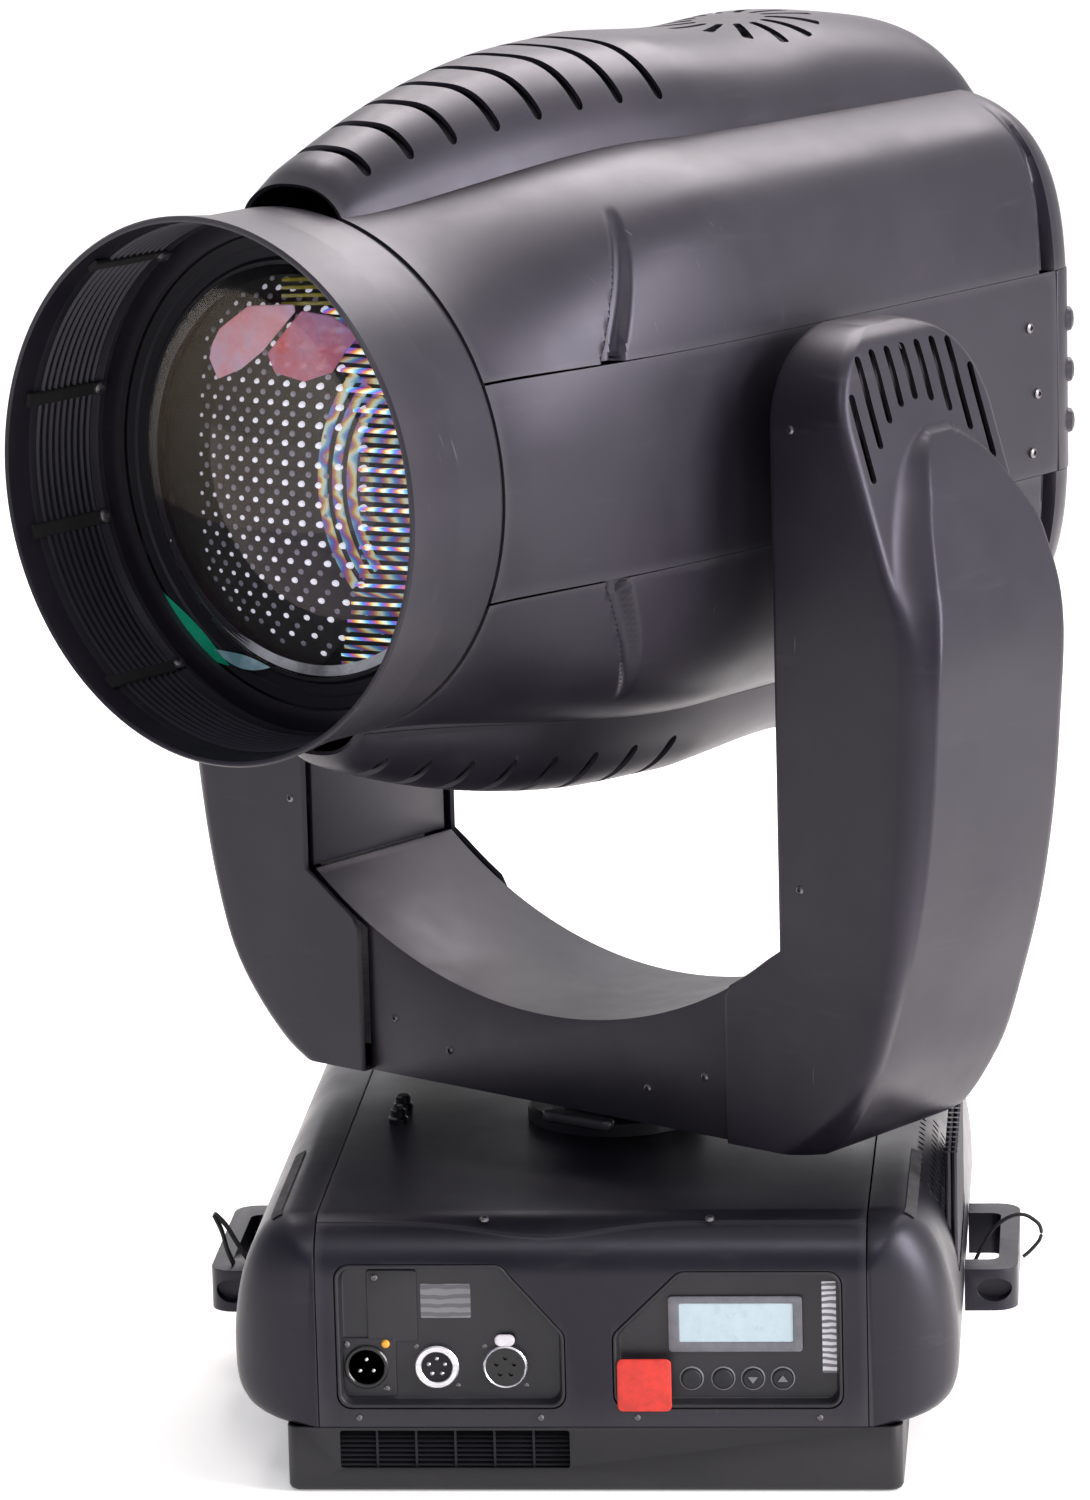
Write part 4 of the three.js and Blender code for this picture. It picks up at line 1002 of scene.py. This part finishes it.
def arm_cover(side, label):
    heights = [168, 168.6, 170, 172.5, 176, 180] + spaced(185, 485, 51) + spaced(488, 604, 59)
    heights += [607, 610, 612.5, 614.5, 616, 616.8]
    rows = [[(x, y, z) for x, y in arm_row(z)] for z in heights]
    slots = together(*[air_slot(y) for y in spaced(-53, 52, 9)])
    shape, slots = on_side(side, lofted(rows, wrap=False), slots)
    piece(f"arm_skin_{label}", shape, "yoke", BLACK, [f"arm_cover_{label}"],
          thick=SKIN, cuts=[slots], sharp=50)


def slot_liner(side, label):
    """A dark plate behind the air slots hides the drive inside the arm."""
    heights = spaced(560, 602, 9)
    outline = [(arm_half_depth(z) - 6, z) for z in heights]
    outline += [(6 - arm_half_depth(z), z) for z in reversed(heights)]
    shape, = on_side(side, pushed("x", outline, 205, 206))
    piece(f"slot_liner_{label}", shape, "yoke", MATTE_BLACK)


def arm_inner_plate(side, label):
    half, radius, top = 57.0, 44.0, ARM_TOP - 8
    outline = [(-half, SADDLE_END + GAP), (half, SADDLE_END + GAP)]
    outline += arc(half - radius, top - radius, radius, 0, 90, 12)
    outline += arc(radius - half, top - radius, radius, 90, 180, 12)
    inner = ARM_INNER + 2
    shape, hole = on_side(side, pushed("x", outline, inner, inner + 2.5),
                          rod("x", 150, 200, 31, (0, TILT_HEIGHT)))
    piece(f"arm_inner_plate_{label}", shape, "yoke", BLACK,
          [f"arm_inner_cover_{label}"], cuts=[hole], bevel=0.8, segments=2)


def crossbar():
    end = ARM_INNER - 1.5
    end_angle = math.degrees(math.asin(end / SADDLE_RADIUS))
    seam = CROSSBAR_SEAM - GAP
    shoulder = SADDLE_CENTRE - math.sqrt(SADDLE_RADIUS ** 2 - seam ** 2) - 4
    outer_radius = SADDLE_RADIUS + WALL + GAP
    outline = [(-seam, ARM_BOTTOM), (seam, ARM_BOTTOM), (seam, shoulder)]
    outline += arc(0, SADDLE_CENTRE, outer_radius, -60.5, -90 + end_angle, 6)
    outline += arc(0, SADDLE_CENTRE, SADDLE_RADIUS + GAP, -90 + end_angle, -90 - end_angle, 72)
    outline += arc(0, SADDLE_CENTRE, outer_radius, -90 - end_angle, -119.5, 6)
    outline += [(-seam, shoulder)]
    hollow = [(-seam - 5, ARM_BOTTOM - 5), (seam + 5, ARM_BOTTOM - 5), (seam + 5, shoulder - 2)]
    hollow += arc(0, SADDLE_CENTRE, outer_radius, -61, -119, 40) + [(-seam - 5, shoulder - 2)]
    depth = CROSSBAR_DEPTH
    piece("crossbar_skin", pushed("y", outline, -depth, depth), "yoke", BLACK,
          ["crossbar_cover"], cuts=[pushed("y", hollow, WALL - depth, depth - WALL)], bevel=1.3)


def lock_lever():
    outline = [(x + 8, y - 61) for x, y in arc(0, 0, 8, 60, 300, 14) + arc(34, 0, 5.5, -80, 80, 10)]
    piece("lock_lever", pushed("z", outline, 160.5, 166.5), "pan_lock", PAINT,
          ["pan_lock_lever"], bevel=1.6)


def yoke_screws():
    """The same screws stand on the front and on the back, a little sunk."""
    for x, z in ((-181.9, 321.2), (184.9, 566.9), (185.9, 317.2), (-112.6, 200.9), (-71.9, 188.3),
                 (112.6, 200.9), (71.9, 188.3)):
        depth = ARM_DEPTH if abs(x) > CROSSBAR_SEAM else CROSSBAR_DEPTH
        for back in (-1, 1):
            screw("yoke", (x, back * (depth - 0.8), z), (0, back, 0), 2.6)


def build_yoke():
    for side, label in SIDES:
        arm_cover(side, label)
        slot_liner(side, label)
        arm_inner_plate(side, label)
    crossbar()
    lock_lever()
    yoke_screws()


# ------------------------------------------------------------------ head

CREST = [(-246, 152), (-233, 162), (-160, 186), (-78, 201.5), (0, 205.5), (8, 205.5), (84, 200), (147, 202),
         (205, 196), (232, 187), (250, 166)]
SPINE_HALF = [(-246, 34), (-180, 46), (-120, 58), (-60, 68), (6, 77), (120, 80), (250, 82)]


def body_section(y):
    blend = smoothstep(-250, -40, y)
    into = max(0.0, y - (REAR - REAR_ROUND)) / REAR_ROUND
    shrink = REAR_ROUND * (1 - math.sqrt(max(0.0, 1 - into ** 2)))
    return 141 + 9 * blend - shrink, 141 + 17 * blend - shrink, 2 + 2 * blend


def spine_rise(x, y):
    height = body_section(y)[1]
    t = abs(x) / curve_through(SPINE_HALF, y)
    if t >= 1:
        return 0.0
    return max(0.0, curve_through(CREST, y) - height) * (1 - t ** 3) ** 0.8


def section_point(y, angle):
    width, height, power = body_section(y)
    c, s = math.cos(angle), math.sin(angle)
    x = width * math.copysign(abs(c) ** (2 / power), c)
    z = height * math.copysign(abs(s) ** (2 / power), s)
    return x, z


def angle_at(y, height):
    _, tall, power = body_section(y)
    return math.asin(min(1.0, (height / tall)) ** (power / 2))


def angle_at_width(y, reach):
    width, _, power = body_section(y)
    return math.acos(min(1.0, reach / width) ** (power / 2))


def pocket_depth(y, z):
    """Wedge-shaped pockets over the cover screws: deep at the seam, fading out above."""
    depth = 0.0
    for middle, top, low_half, lean in ((-158, 131, 8.0, 0.5), (214, 148, 7.0, 0.05)):
        up = (z - BAND) / (top - BAND)
        if up >= 1:
            continue
        half = low_half * (1 - 0.55 * up)
        across = abs(y - middle - lean * (z - BAND)) / half
        depth = max(depth, 7.5 * (1 - up) ** 0.6 * smoothstep(1.0, 0.55, across))
    return depth


def cover_row(y):
    """Half of a cover's section is the flank up to the spine's edge, then the spine."""
    start = angle_at(y, BAND + GAP / 2 + 1.1 * smoothstep(-80, -235, y))
    edge = angle_at_width(y, curve_through(SPINE_HALF, y))
    half = []
    for a in spaced(start, edge, 40):
        x, z = section_point(y, a)
        half.append((x - pocket_depth(y, z), z))
    reach = half[-1][0]
    width, height, power = body_section(y)
    for x in [max(0.0, at) for at in spaced(reach, 0, 25)[1:]]:
        z = height * max(0.0, 1 - (x / width) ** power) ** (1 / power) + spine_rise(x, y)
        half.append((x, z))
    first = half[0]
    row = [(first[0] - 1.2, first[1])] + half
    return [(x, y, z) for x, z in row] + [(-x, y, z) for x, z in row[-2::-1]]


def refined(start, end, step, *details):
    """Stations along the head, closer together round the details."""
    stations = []
    at = start
    while at < end - 0.4:
        stations.append(at)
        near = any(low <= at <= high for low, high in details)
        at += 1.6 if near else step
    return stations


def louvre(y, half):
    """A slot across the front of the spine."""
    return pushed("z", rectangle(-half, half, y - 3.1, y + 3.1, 3.0), 120, 230)


def star_ray(index, count, centre_y, inner, outer):
    a = 2 * math.pi * (index + 0.5) / count
    ray = rounded([(inner, -2.2), (outer, -3.4), (outer, 3.4), (inner, 2.2)], 2.0)
    turn = Matrix.Translation((0, centre_y, 0)) @ Matrix.Rotation(a, 4, "Z")
    return moved(pushed("z", ray, 170, 230), turn)


def head_cover(up, label):
    stations = refined(-245.7, 243, 5.5, (-170, -110), (203, 225)) + [244, 246.5, 248.3, 249.4]
    shape = lofted([cover_row(y) for y in stations], wrap=False, caps="end")
    vents = [louvre(y, curve_through(SPINE_HALF, y) - 9) for y in spaced(-218, -20, 8)]
    vents += [star_ray(i, 14, 120, 20, 51) for i in range(14)]
    cutter = together(*vents)
    if up < 0:
        shape, cutter = flipped(shape, "z"), flipped(cutter, "z")
    piece(f"head_skin_{label}", shape, "head", BLACK, [f"head_cover_{label}"],
          thick=SKIN, cuts=[cutter], sharp=42)


def side_panel(side, label):
    rows = []
    for y in refined(-245.7, BAND_BACK, 6.0) + [BAND_BACK]:
        top = angle_at(y, BAND - GAP / 2)
        outer = [section_point(y, top * t) for t in spaced(-1, 1, 13)]
        outer = [(outer[0][0] - 1.2, outer[0][1])] + outer + [(outer[-1][0] - 1.2, outer[-1][1])]
        rows.append([(side * x, y, z) for x, z in outer])
    piece(f"side_panel_{label}", sheet(rows), "head", BLACK,
          [f"head_side_panel_{label}"], thick=SKIN, cuts=[rod("x", 100 * side, 190 * side, 15)],
          sharp=50)
    for y, z in ((196, 28), (203, -10), (198, -43)):
        screw("head", (side * HEAD_SIDE, y, z), (side, 0, 0), 3.0)


def rear_panel():
    edge, start = HEAD_SIDE, BAND_BACK + 0.5
    outer = [(edge, start)] + arc(edge - REAR_ROUND, REAR - REAR_ROUND, REAR_ROUND, 0, 90, 12)
    outer += arc(REAR_ROUND - edge, REAR - REAR_ROUND, REAR_ROUND, 90, 180, 12) + [(-edge, start)]
    reach = BAND - GAP / 2
    rows = [[(x, y, z) for z in (-reach, reach)] for x, y in outer]
    piece("rear_panel_skin", sheet(rows), "head", BLACK, ["head_rear_panel"],
          thick=SKIN, bevel=0.8, segments=2)


def hood():
    back, inner = HOOD_BACK - GAP, HOOD_FRONT_R - HOOD_WALL
    outside = [(HOOD_FRONT + 1.2, HOOD_FRONT_R), (-290, 141.2), (-262, 140.2), (back, HOOD_BACK_R)]
    flange = [(back, 127.5), (back - 4, 127.5), (back - 4, HOOD_BACK_R - HOOD_WALL)]
    lip = [(HOOD_FRONT + 3, inner), (HOOD_FRONT + 0.6, inner + 0.4), (HOOD_FRONT, inner + 1.4),
           (HOOD_FRONT, HOOD_FRONT_R - 1.0)]
    inside = [(back - 4, inner), (HOOD_FRONT + 3, inner)]
    piece("hood_skin", turned("y", lip + outside + flange + inside, sides=144), "head",
          BLACK, ["lens_hood"], sharp=32)
    hood_lining(inner)


def hood_lining(radius):
    """Fine ribs round the inside of the hood, crossed by eight near-black strips that paint the shade of
    slots and end in screws.
    """
    ridges = [(-256, radius - 0.1), (-256, radius - 3.4)]
    for y in spaced(-262, -300, 9):
        ridges += [(y + 1.4, radius - 1.2), (y + 0.4, radius - 2.6), (y - 0.4, radius - 2.6),
                   (y - 1.4, radius - 1.2)]
    ridges += [(-306, radius - 0.1)]
    piece("hood_ribs", turned("y", ridges, sides=144), "head", LINING, sharp=30)
    slots = []
    slot = pushed("y", rectangle(radius - 3.5, radius - 0.5, -3.8, 3.8, 1.2), -311, -262)
    for a in (14.75, 53.3, 126.7, 165.25, 194.75, 233.3, 306.7, 345.25):
        turn = Matrix.Rotation(math.radians(a), 4, "Y")
        slots.append(moved(slot, turn))
        screw("head", turn @ Vector((radius - 3.2, -258, 0)), turn @ Vector((-1, 0, 0)), 4.2)
    # The strips are painted shade: flat near-black plates where the slots would be dark.
    piece("hood_slot_shades", together(*slots), "head", SLOT_PAINTED_SHADE)


def lens_ring():
    """The stepped holder round the front lens, and the recess behind it."""
    steps = [(-5.6, 110.6), (-5.6, 112), (-3.5, 114), (-3.5, 120), (-5.0, 121), (-5.0, 126.6),
             (3.6, 126.6), (3.6, 110.6)]
    profile = [(LENS_PLANE + along, r) for along, r in steps]
    piece("lens_holder", turned("y", profile, sides=128), "head", MATTE_BLACK,
          ["lens_ring"], sharp=30)
    skirt = [(LENS_PLANE - 1, 126), (LENS_PLANE - 1, 136), (LENS_PLANE, 136), (LENS_PLANE, 126)]
    piece("lens_surround", turned("y", skirt, sides=96), "head", MATTE_BLACK)


def lens():
    bulge, rim = 30.0, -6.0
    radius = (LENS_RADIUS ** 2 + bulge ** 2) / (2 * bulge)
    half = math.degrees(math.asin(LENS_RADIUS / radius))
    dome = arc(LENS_PLANE + rim - bulge + radius, 0, radius, 180, 180 - half, 28)
    profile = [(y, r) for y, r in dome] + [(LENS_PLANE, LENS_RADIUS), (LENS_PLANE, 0)]
    profile[0] = (profile[0][0], 0.0)
    piece("lens_glass", turned("y", profile, sides=128, closed=False), "head", GLASS,
          ["front_lens"], sharp=30)
    blackened = [(LENS_PLANE + along, LENS_RADIUS + out) for along, out in (
        (rim, 0.05), (rim, 0.25), (0, 0.25), (0, -2.0), (0.2, -2.0), (0.2, 0.05))]
    piece("lens_edge_paint", turned("y", blackened, sides=128), "head", GLOSS_BLACK)


def lens_seat():
    """Dark steps round the lens's edge, seen through it, with a glowing painted highlight on the steps along
    the bottom.
    """
    for label, start, end, count, lift, fade_start, material in (
            ("dark", 0, 360, 145, 0.0, 1.0, GLOSS_BLACK),
            ("painted_highlight", 222, 312, 61, 0.12, 0.05, SEAT_PAINTED_HIGHLIGHT)):
        rings = []
        for a in spaced(start, end, count):
            c, s = math.cos(math.radians(a)), math.sin(math.radians(a))
            fade = min(1.0, (a - start) / 25 + fade_start)
            ring = []
            for step in range(4):
                y, r = LENS_PLANE + 0.3 + 0.8 * step - lift, 109.7 - 2.4 * step * fade
                ring += [(r * c, y, r * s), ((r - 2.0 * fade) * c, y + 0.1, (r - 2.0 * fade) * s)]
            rings.append(ring)
        piece(f"lens_seat_{label}", sheet(rings), "head", material, thick=0.1, sharp=30)


def array_place(column, row):
    """Where one small lens of the array stands: the columns spread and bend towards the right."""
    share = column / (ARRAY_COLUMNS - 1)
    z = ARRAY_PITCH * row
    bend = 0.016 * max(0.0, -z - 25) ** 2 * share ** 3
    return -71 + 8.1 * column + 9 * share ** 6 + bend, z


def streak_start(z):
    return 19 - 0.4 * max(0.0, z - 20) - 0.3 * max(0.0, -45 - z)


def lens_array():
    """A dark glass plate with rows of small lenses and, on its right, rows of long prisms."""
    glass = rod("y", ARRAY_FRONT + 4, ARRAY_FRONT, ARRAY_RADIUS, sides=96)
    piece("array_plate", glass, "zoom", ARRAY_BLACK, ["lens_array"])
    lenses, faint = [], []
    facet = [(ARRAY_FRONT, 1.5), (ARRAY_FRONT - 0.5, 1.1), (ARRAY_FRONT - 0.7, 0.0)]
    for column in range(ARRAY_COLUMNS):
        size = 1.0 + 0.075 * column
        dome = [(ARRAY_FRONT - rise * size, width * size)
                for rise, width in ((0.0, 1.0), (0.45, 0.9), (0.85, 0.55), (1.0, 0.0))]
        for row in range(-10, 11):
            x, z = array_place(column, row)
            if math.hypot(x, z) < ARRAY_RADIUS - 5 and x < streak_start(z) + 4:
                lenses.append(turned("y", dome, (x, z), 10, False))
            if math.hypot(x + 4, z + 4) < ARRAY_RADIUS - 5 and column < 9:
                faint.append(turned("y", facet, (x + 3.6, z + 4.4), 8, False))
    # The small lenses and faint facets carry glowing painted highlights in their material.
    piece("array_lenses", together(*lenses), "zoom", LENSLET_PAINTED_HIGHLIGHT)
    piece("array_facets", together(*faint), "zoom", FACET_PAINTED_HIGHLIGHT)


def array_prisms():
    """Long prisms and the curved bands at their left ends, coloured with glowing painted split light."""
    prisms, between = [], []
    for half_row in range(-21, 17):
        z = 0.5 * ARRAY_PITCH * half_row
        start = streak_start(z)
        end = math.sqrt(ARRAY_RADIUS ** 2 - z ** 2) - 2
        if end < start + 4:
            continue
        whole = half_row % 2 == 0
        height, front = (1.2, 2.2) if whole else (1.7, 1.4)
        outline = [(start, z - 0.6 * height), (end, z - height), (end, z + height),
                   (start, z + 0.6 * height)]
        strips = prisms if whole else between
        strips.append(pushed("y", outline, ARRAY_FRONT - front, ARRAY_FRONT - 0.3))
    piece("array_prisms", together(*prisms), "zoom", PAINTED_SPECTRUM)
    piece("array_valleys", together(*between), "zoom", PAINTED_SPECTRUM_DIM)
    bands = []
    for radius in (69, 76.5, 84):
        inner = arc(PRISM_CENTRE, -6, radius - 2.3, 144, 216, 30)
        outer = arc(PRISM_CENTRE, -6, radius + 2.3, 216, 144, 30)
        bands.append(pushed("y", inner + outer, ARRAY_FRONT - 0.5, ARRAY_FRONT - 0.1))
    piece("painted_spectrum_bands", together(*bands), "zoom", PAINTED_SPECTRUM_DIM)


def colour_flags():
    """Two pink glass filters and some olive strips that reach into the beam behind the lens."""
    left = [(-61, 50), (-60, 57), (-56, 65), (-38, 78), (-9, 81), (-8, 77), (-26, 56), (-39, 46),
            (-54, 40)]
    right = [(-4, 78), (14, 77), (31, 69), (22, 58), (16, 49), (0, 43), (-18, 46), (-23, 55)]
    # The flags and strips glow faintly: painted light over their own tint.
    for label, outline, material in (("left", left, FLAG_PALE), ("right", right, FLAG_PINK)):
        piece(f"colour_flag_{label}", pushed("y", rounded(outline[::-1], 1.5), -233, -232.2), "head",
              material, bevel=0.25, segments=1)
    strips = []
    for step in range(5):
        z = 83 + 4.2 * step
        reach = math.sqrt(103 ** 2 - z ** 2)
        strips.append(pushed("y", [(-18 - 0.4 * step, z - 4), (min(36, reach), z + 1),
                                   (min(36, reach), z + 3), (-18 - 0.4 * step, z - 2.4)],
                             -231.6, -231.0))
    piece("filter_strips", together(*strips), "head", OLIVE)


def painted_coating_glints():
    """Painted reflections: thin green and pale blue sheets that glow on the lens holder, low on the left, in
    place of the sheen of the lens coating.
    """
    for label, start, end, radii, width, material in (
            ("green", 214, 243, (130, 124.0), 6.4, PAINTED_GREEN_GLINT),
            ("blue", 237, 256, (122.5, 111.5), 3.8, PAINTED_PALE_GLINT)):
        rows = []
        for a in spaced(start, end, 17):
            share = (a - start) / (end - start)
            half = 0.15 + width * math.sin(math.pi * share)
            middle = radii[0] + (radii[1] - radii[0]) * share
            c, s = math.cos(math.radians(a)), math.sin(math.radians(a))
            rows.append([(r * c, LENS_PLANE - 6.2, r * s) for r in (middle - half, middle + half)])
        piece(f"coating_glint_{label}", sheet(rows), "head", material, thick=0.3)


def zoom_carriage():
    """The ring that holds the lens array, and the shoe that slides on the rail."""
    slant = 0.6
    ring_part = turned("y", [(ZOOM_FRONT + slant, ZOOM_INNER), (ZOOM_FRONT, ZOOM_INNER + slant),
                             (ZOOM_FRONT, ZOOM_OUTER - slant), (ZOOM_FRONT + slant, ZOOM_OUTER),
                             (ZOOM_BACK, ZOOM_OUTER), (ZOOM_BACK, ZOOM_INNER)], sides=96)
    bore = rod("y", -230, -200, 4.3, ZOOM_RAIL, 24)
    opening = rod("y", -230, -200, ZOOM_INNER, sides=96)
    piece("zoom_ring", ring_part, "zoom", MATTE_BLACK, ["zoom_carriage"], cuts=[bore])
    piece("zoom_shoe", block(-12, 12, ZOOM_FRONT, -204, -116, -94), "zoom", MATTE_BLACK,
          ["zoom_carriage"], cuts=[opening, bore], bevel=0.8)


def pivot_bosses():
    profile = [(151, 0), (151, 28), (163, 28), (164.5, 26.5), (166.8, 26.5), (166.8, 14), (200, 14),
               (200, 0)]
    for side, label in SIDES:
        shape, = on_side(side, turned("x", profile, sides=72, closed=False))
        piece(f"pivot_boss_{label}", shape, "head", PAINT, [f"tilt_shaft_{label}"])


def rear_bumps():
    """Three round bumps on each rear corner."""
    knob = turned("y", [(-1.4, 0), (-1.4, 7.5), (2.0, 6.6), (3.4, 3.8), (3.8, 0)], (0, 0), 28, False)
    for side, label in SIDES:
        turn = Matrix.Rotation(math.radians(-50 * side), 4, "Z")
        corner = Vector((side * (HEAD_SIDE - REAR_ROUND), REAR - REAR_ROUND, 0))
        middle = corner + turn @ Vector((0, REAR_ROUND, 0))
        bumps = [moved(knob, Matrix.Translation(middle + Vector((0, 0, z))) @ turn)
                 for z in (-31, -2, 27)]
        piece(f"rear_bumps_{label}", together(*bumps), "head", BLACK)


def baffles():
    """Dark inner skins close off the view through the air slots."""
    for up, label in COVERS:
        rows = []
        for y in spaced(-240, 238, 40):
            half = curve_through(SPINE_HALF, y) - 1
            height = body_section(y)[1] - 5.5
            xs = spaced(-half, half, 25)
            rows.append([(x, y, up * (height + 0.96 * spine_rise(x, y))) for x in xs])
        piece(f"baffle_{label}", sheet(rows), "head", MATTE_BLACK, thick=1.0)


def build_head():
    for up, label in COVERS:
        head_cover(up, label)
    for side, label in SIDES:
        side_panel(side, label)
    rear_panel()
    rear_bumps()
    baffles()
    pivot_bosses()
    hood()
    lens_ring()
    lens()
    lens_seat()
    zoom_carriage()
    lens_array()
    array_prisms()
    colour_flags()
    painted_coating_glints()


# ------------------------------------------------------------------ stage, lights and camera

def softbox(name, place, aim, size, power, tint=(1.0, 1.0, 1.0)):
    light = bpy.data.lights.new(name, "AREA")
    light.shape = "RECTANGLE"
    light.size, light.size_y = size
    light.energy = power
    light.color = tint
    obj = bpy.data.objects.new(name, light)
    obj.location = place
    obj.rotation_euler = (Vector(aim) - Vector(place)).to_track_quat("-Z", "Y").to_euler()
    bpy.context.scene.collection.objects.link(obj)


def stage():
    floor = bare_object("floor", block(-20000, 20000, -12000, 30000, -20, -0.5), Matrix.Identity(4))
    n = Nodes("pale_floor")
    n.cloudy("Base Color", (2.0, 3.0, 0.5), (0.84, 0.83, 0.8), (0.88, 0.87, 0.84))
    n.set("Roughness", 0.7)
    n.set("Emission Color", (1.0, 1.0, 1.0, 1.0))
    n.set("Emission Strength", 0.32)
    floor.data.materials.append(n.material)
    studio_light()
    softbox("top_box", (0.3, 1.6, 2.8), (0, 0, 0.6), (2.6, 1.8), 115, (1.0, 0.93, 0.93))
    softbox("right_box", (3.0, -1.0, 1.4), (0, 0, 0.45), (1.0, 2.2), 135, (0.99, 0.95, 1.0))
    softbox("front_box", (0.2, -2.6, 3.2), (0, 0, 0.5), (1.0, 0.8), 20)


def studio_light():
    """White walls behind and to the right, and a dark room in front on the left."""
    world = bpy.data.worlds.new("studio")
    world.use_nodes = True
    nodes, links = world.node_tree.nodes, world.node_tree.links
    facing = nodes.new("ShaderNodeVectorMath")
    facing.operation = "DOT_PRODUCT"
    facing.inputs[1].default_value = Vector((0.72, 0.6, 0.35)).normalized()
    links.new(nodes.new("ShaderNodeTexCoord").outputs["Generated"], facing.inputs[0])
    tones = nodes.new("ShaderNodeValToRGB")
    tones.color_ramp.interpolation = "EASE"
    tones.color_ramp.elements[0].position = 0.2
    tones.color_ramp.elements[0].color = (0.2, 0.195, 0.27, 1.0)
    tones.color_ramp.elements[1].position = 0.75
    tones.color_ramp.elements[1].color = (1.0, 0.98, 1.0, 1.0)
    half = nodes.new("ShaderNodeMath")
    half.operation = "MULTIPLY_ADD"
    half.inputs[1].default_value = 0.5
    half.inputs[2].default_value = 0.5
    links.new(facing.outputs["Value"], half.inputs[0])
    links.new(half.outputs[0], tones.inputs[0])
    links.new(tones.outputs[0], nodes["Background"].inputs[0])
    nodes["Background"].inputs[1].default_value = 1.05
    bpy.context.scene.world = world


def camera():
    """The photograph's viewpoint: a long lens, slightly above, from a little right of the front."""
    azimuth, elevation, roll = math.radians(4.8), math.radians(12.4), math.radians(1.5)
    back = Vector((math.sin(azimuth) * math.cos(elevation), -math.cos(azimuth) * math.cos(elevation),
                   math.sin(elevation)))
    right = Vector((math.cos(azimuth), math.sin(azimuth), 0))
    up = back.cross(right)
    right_rolled = math.cos(roll) * right - math.sin(roll) * up
    up_rolled = math.sin(roll) * right + math.cos(roll) * up
    data = bpy.data.cameras.new("camera")
    data.sensor_fit = "VERTICAL"
    data.sensor_height = 36.0
    data.lens = 168.2
    data.clip_end = 50
    obj = bpy.data.objects.new("camera", data)
    target, distance = Vector((-0.0351, 0, 0.3596)), 3.9127
    axes = Matrix((right_rolled, up_rolled, back)).transposed().to_4x4()
    obj.matrix_world = Matrix.Translation(target + back * distance) @ axes
    bpy.context.scene.collection.objects.link(obj)
    bpy.context.scene.camera = obj


camera()
tether()
stage()
dress_cad_nodes()
build_base()
build_yoke()
build_head()
make_screws()
bpy.context.scene.view_settings.view_transform = "Standard"
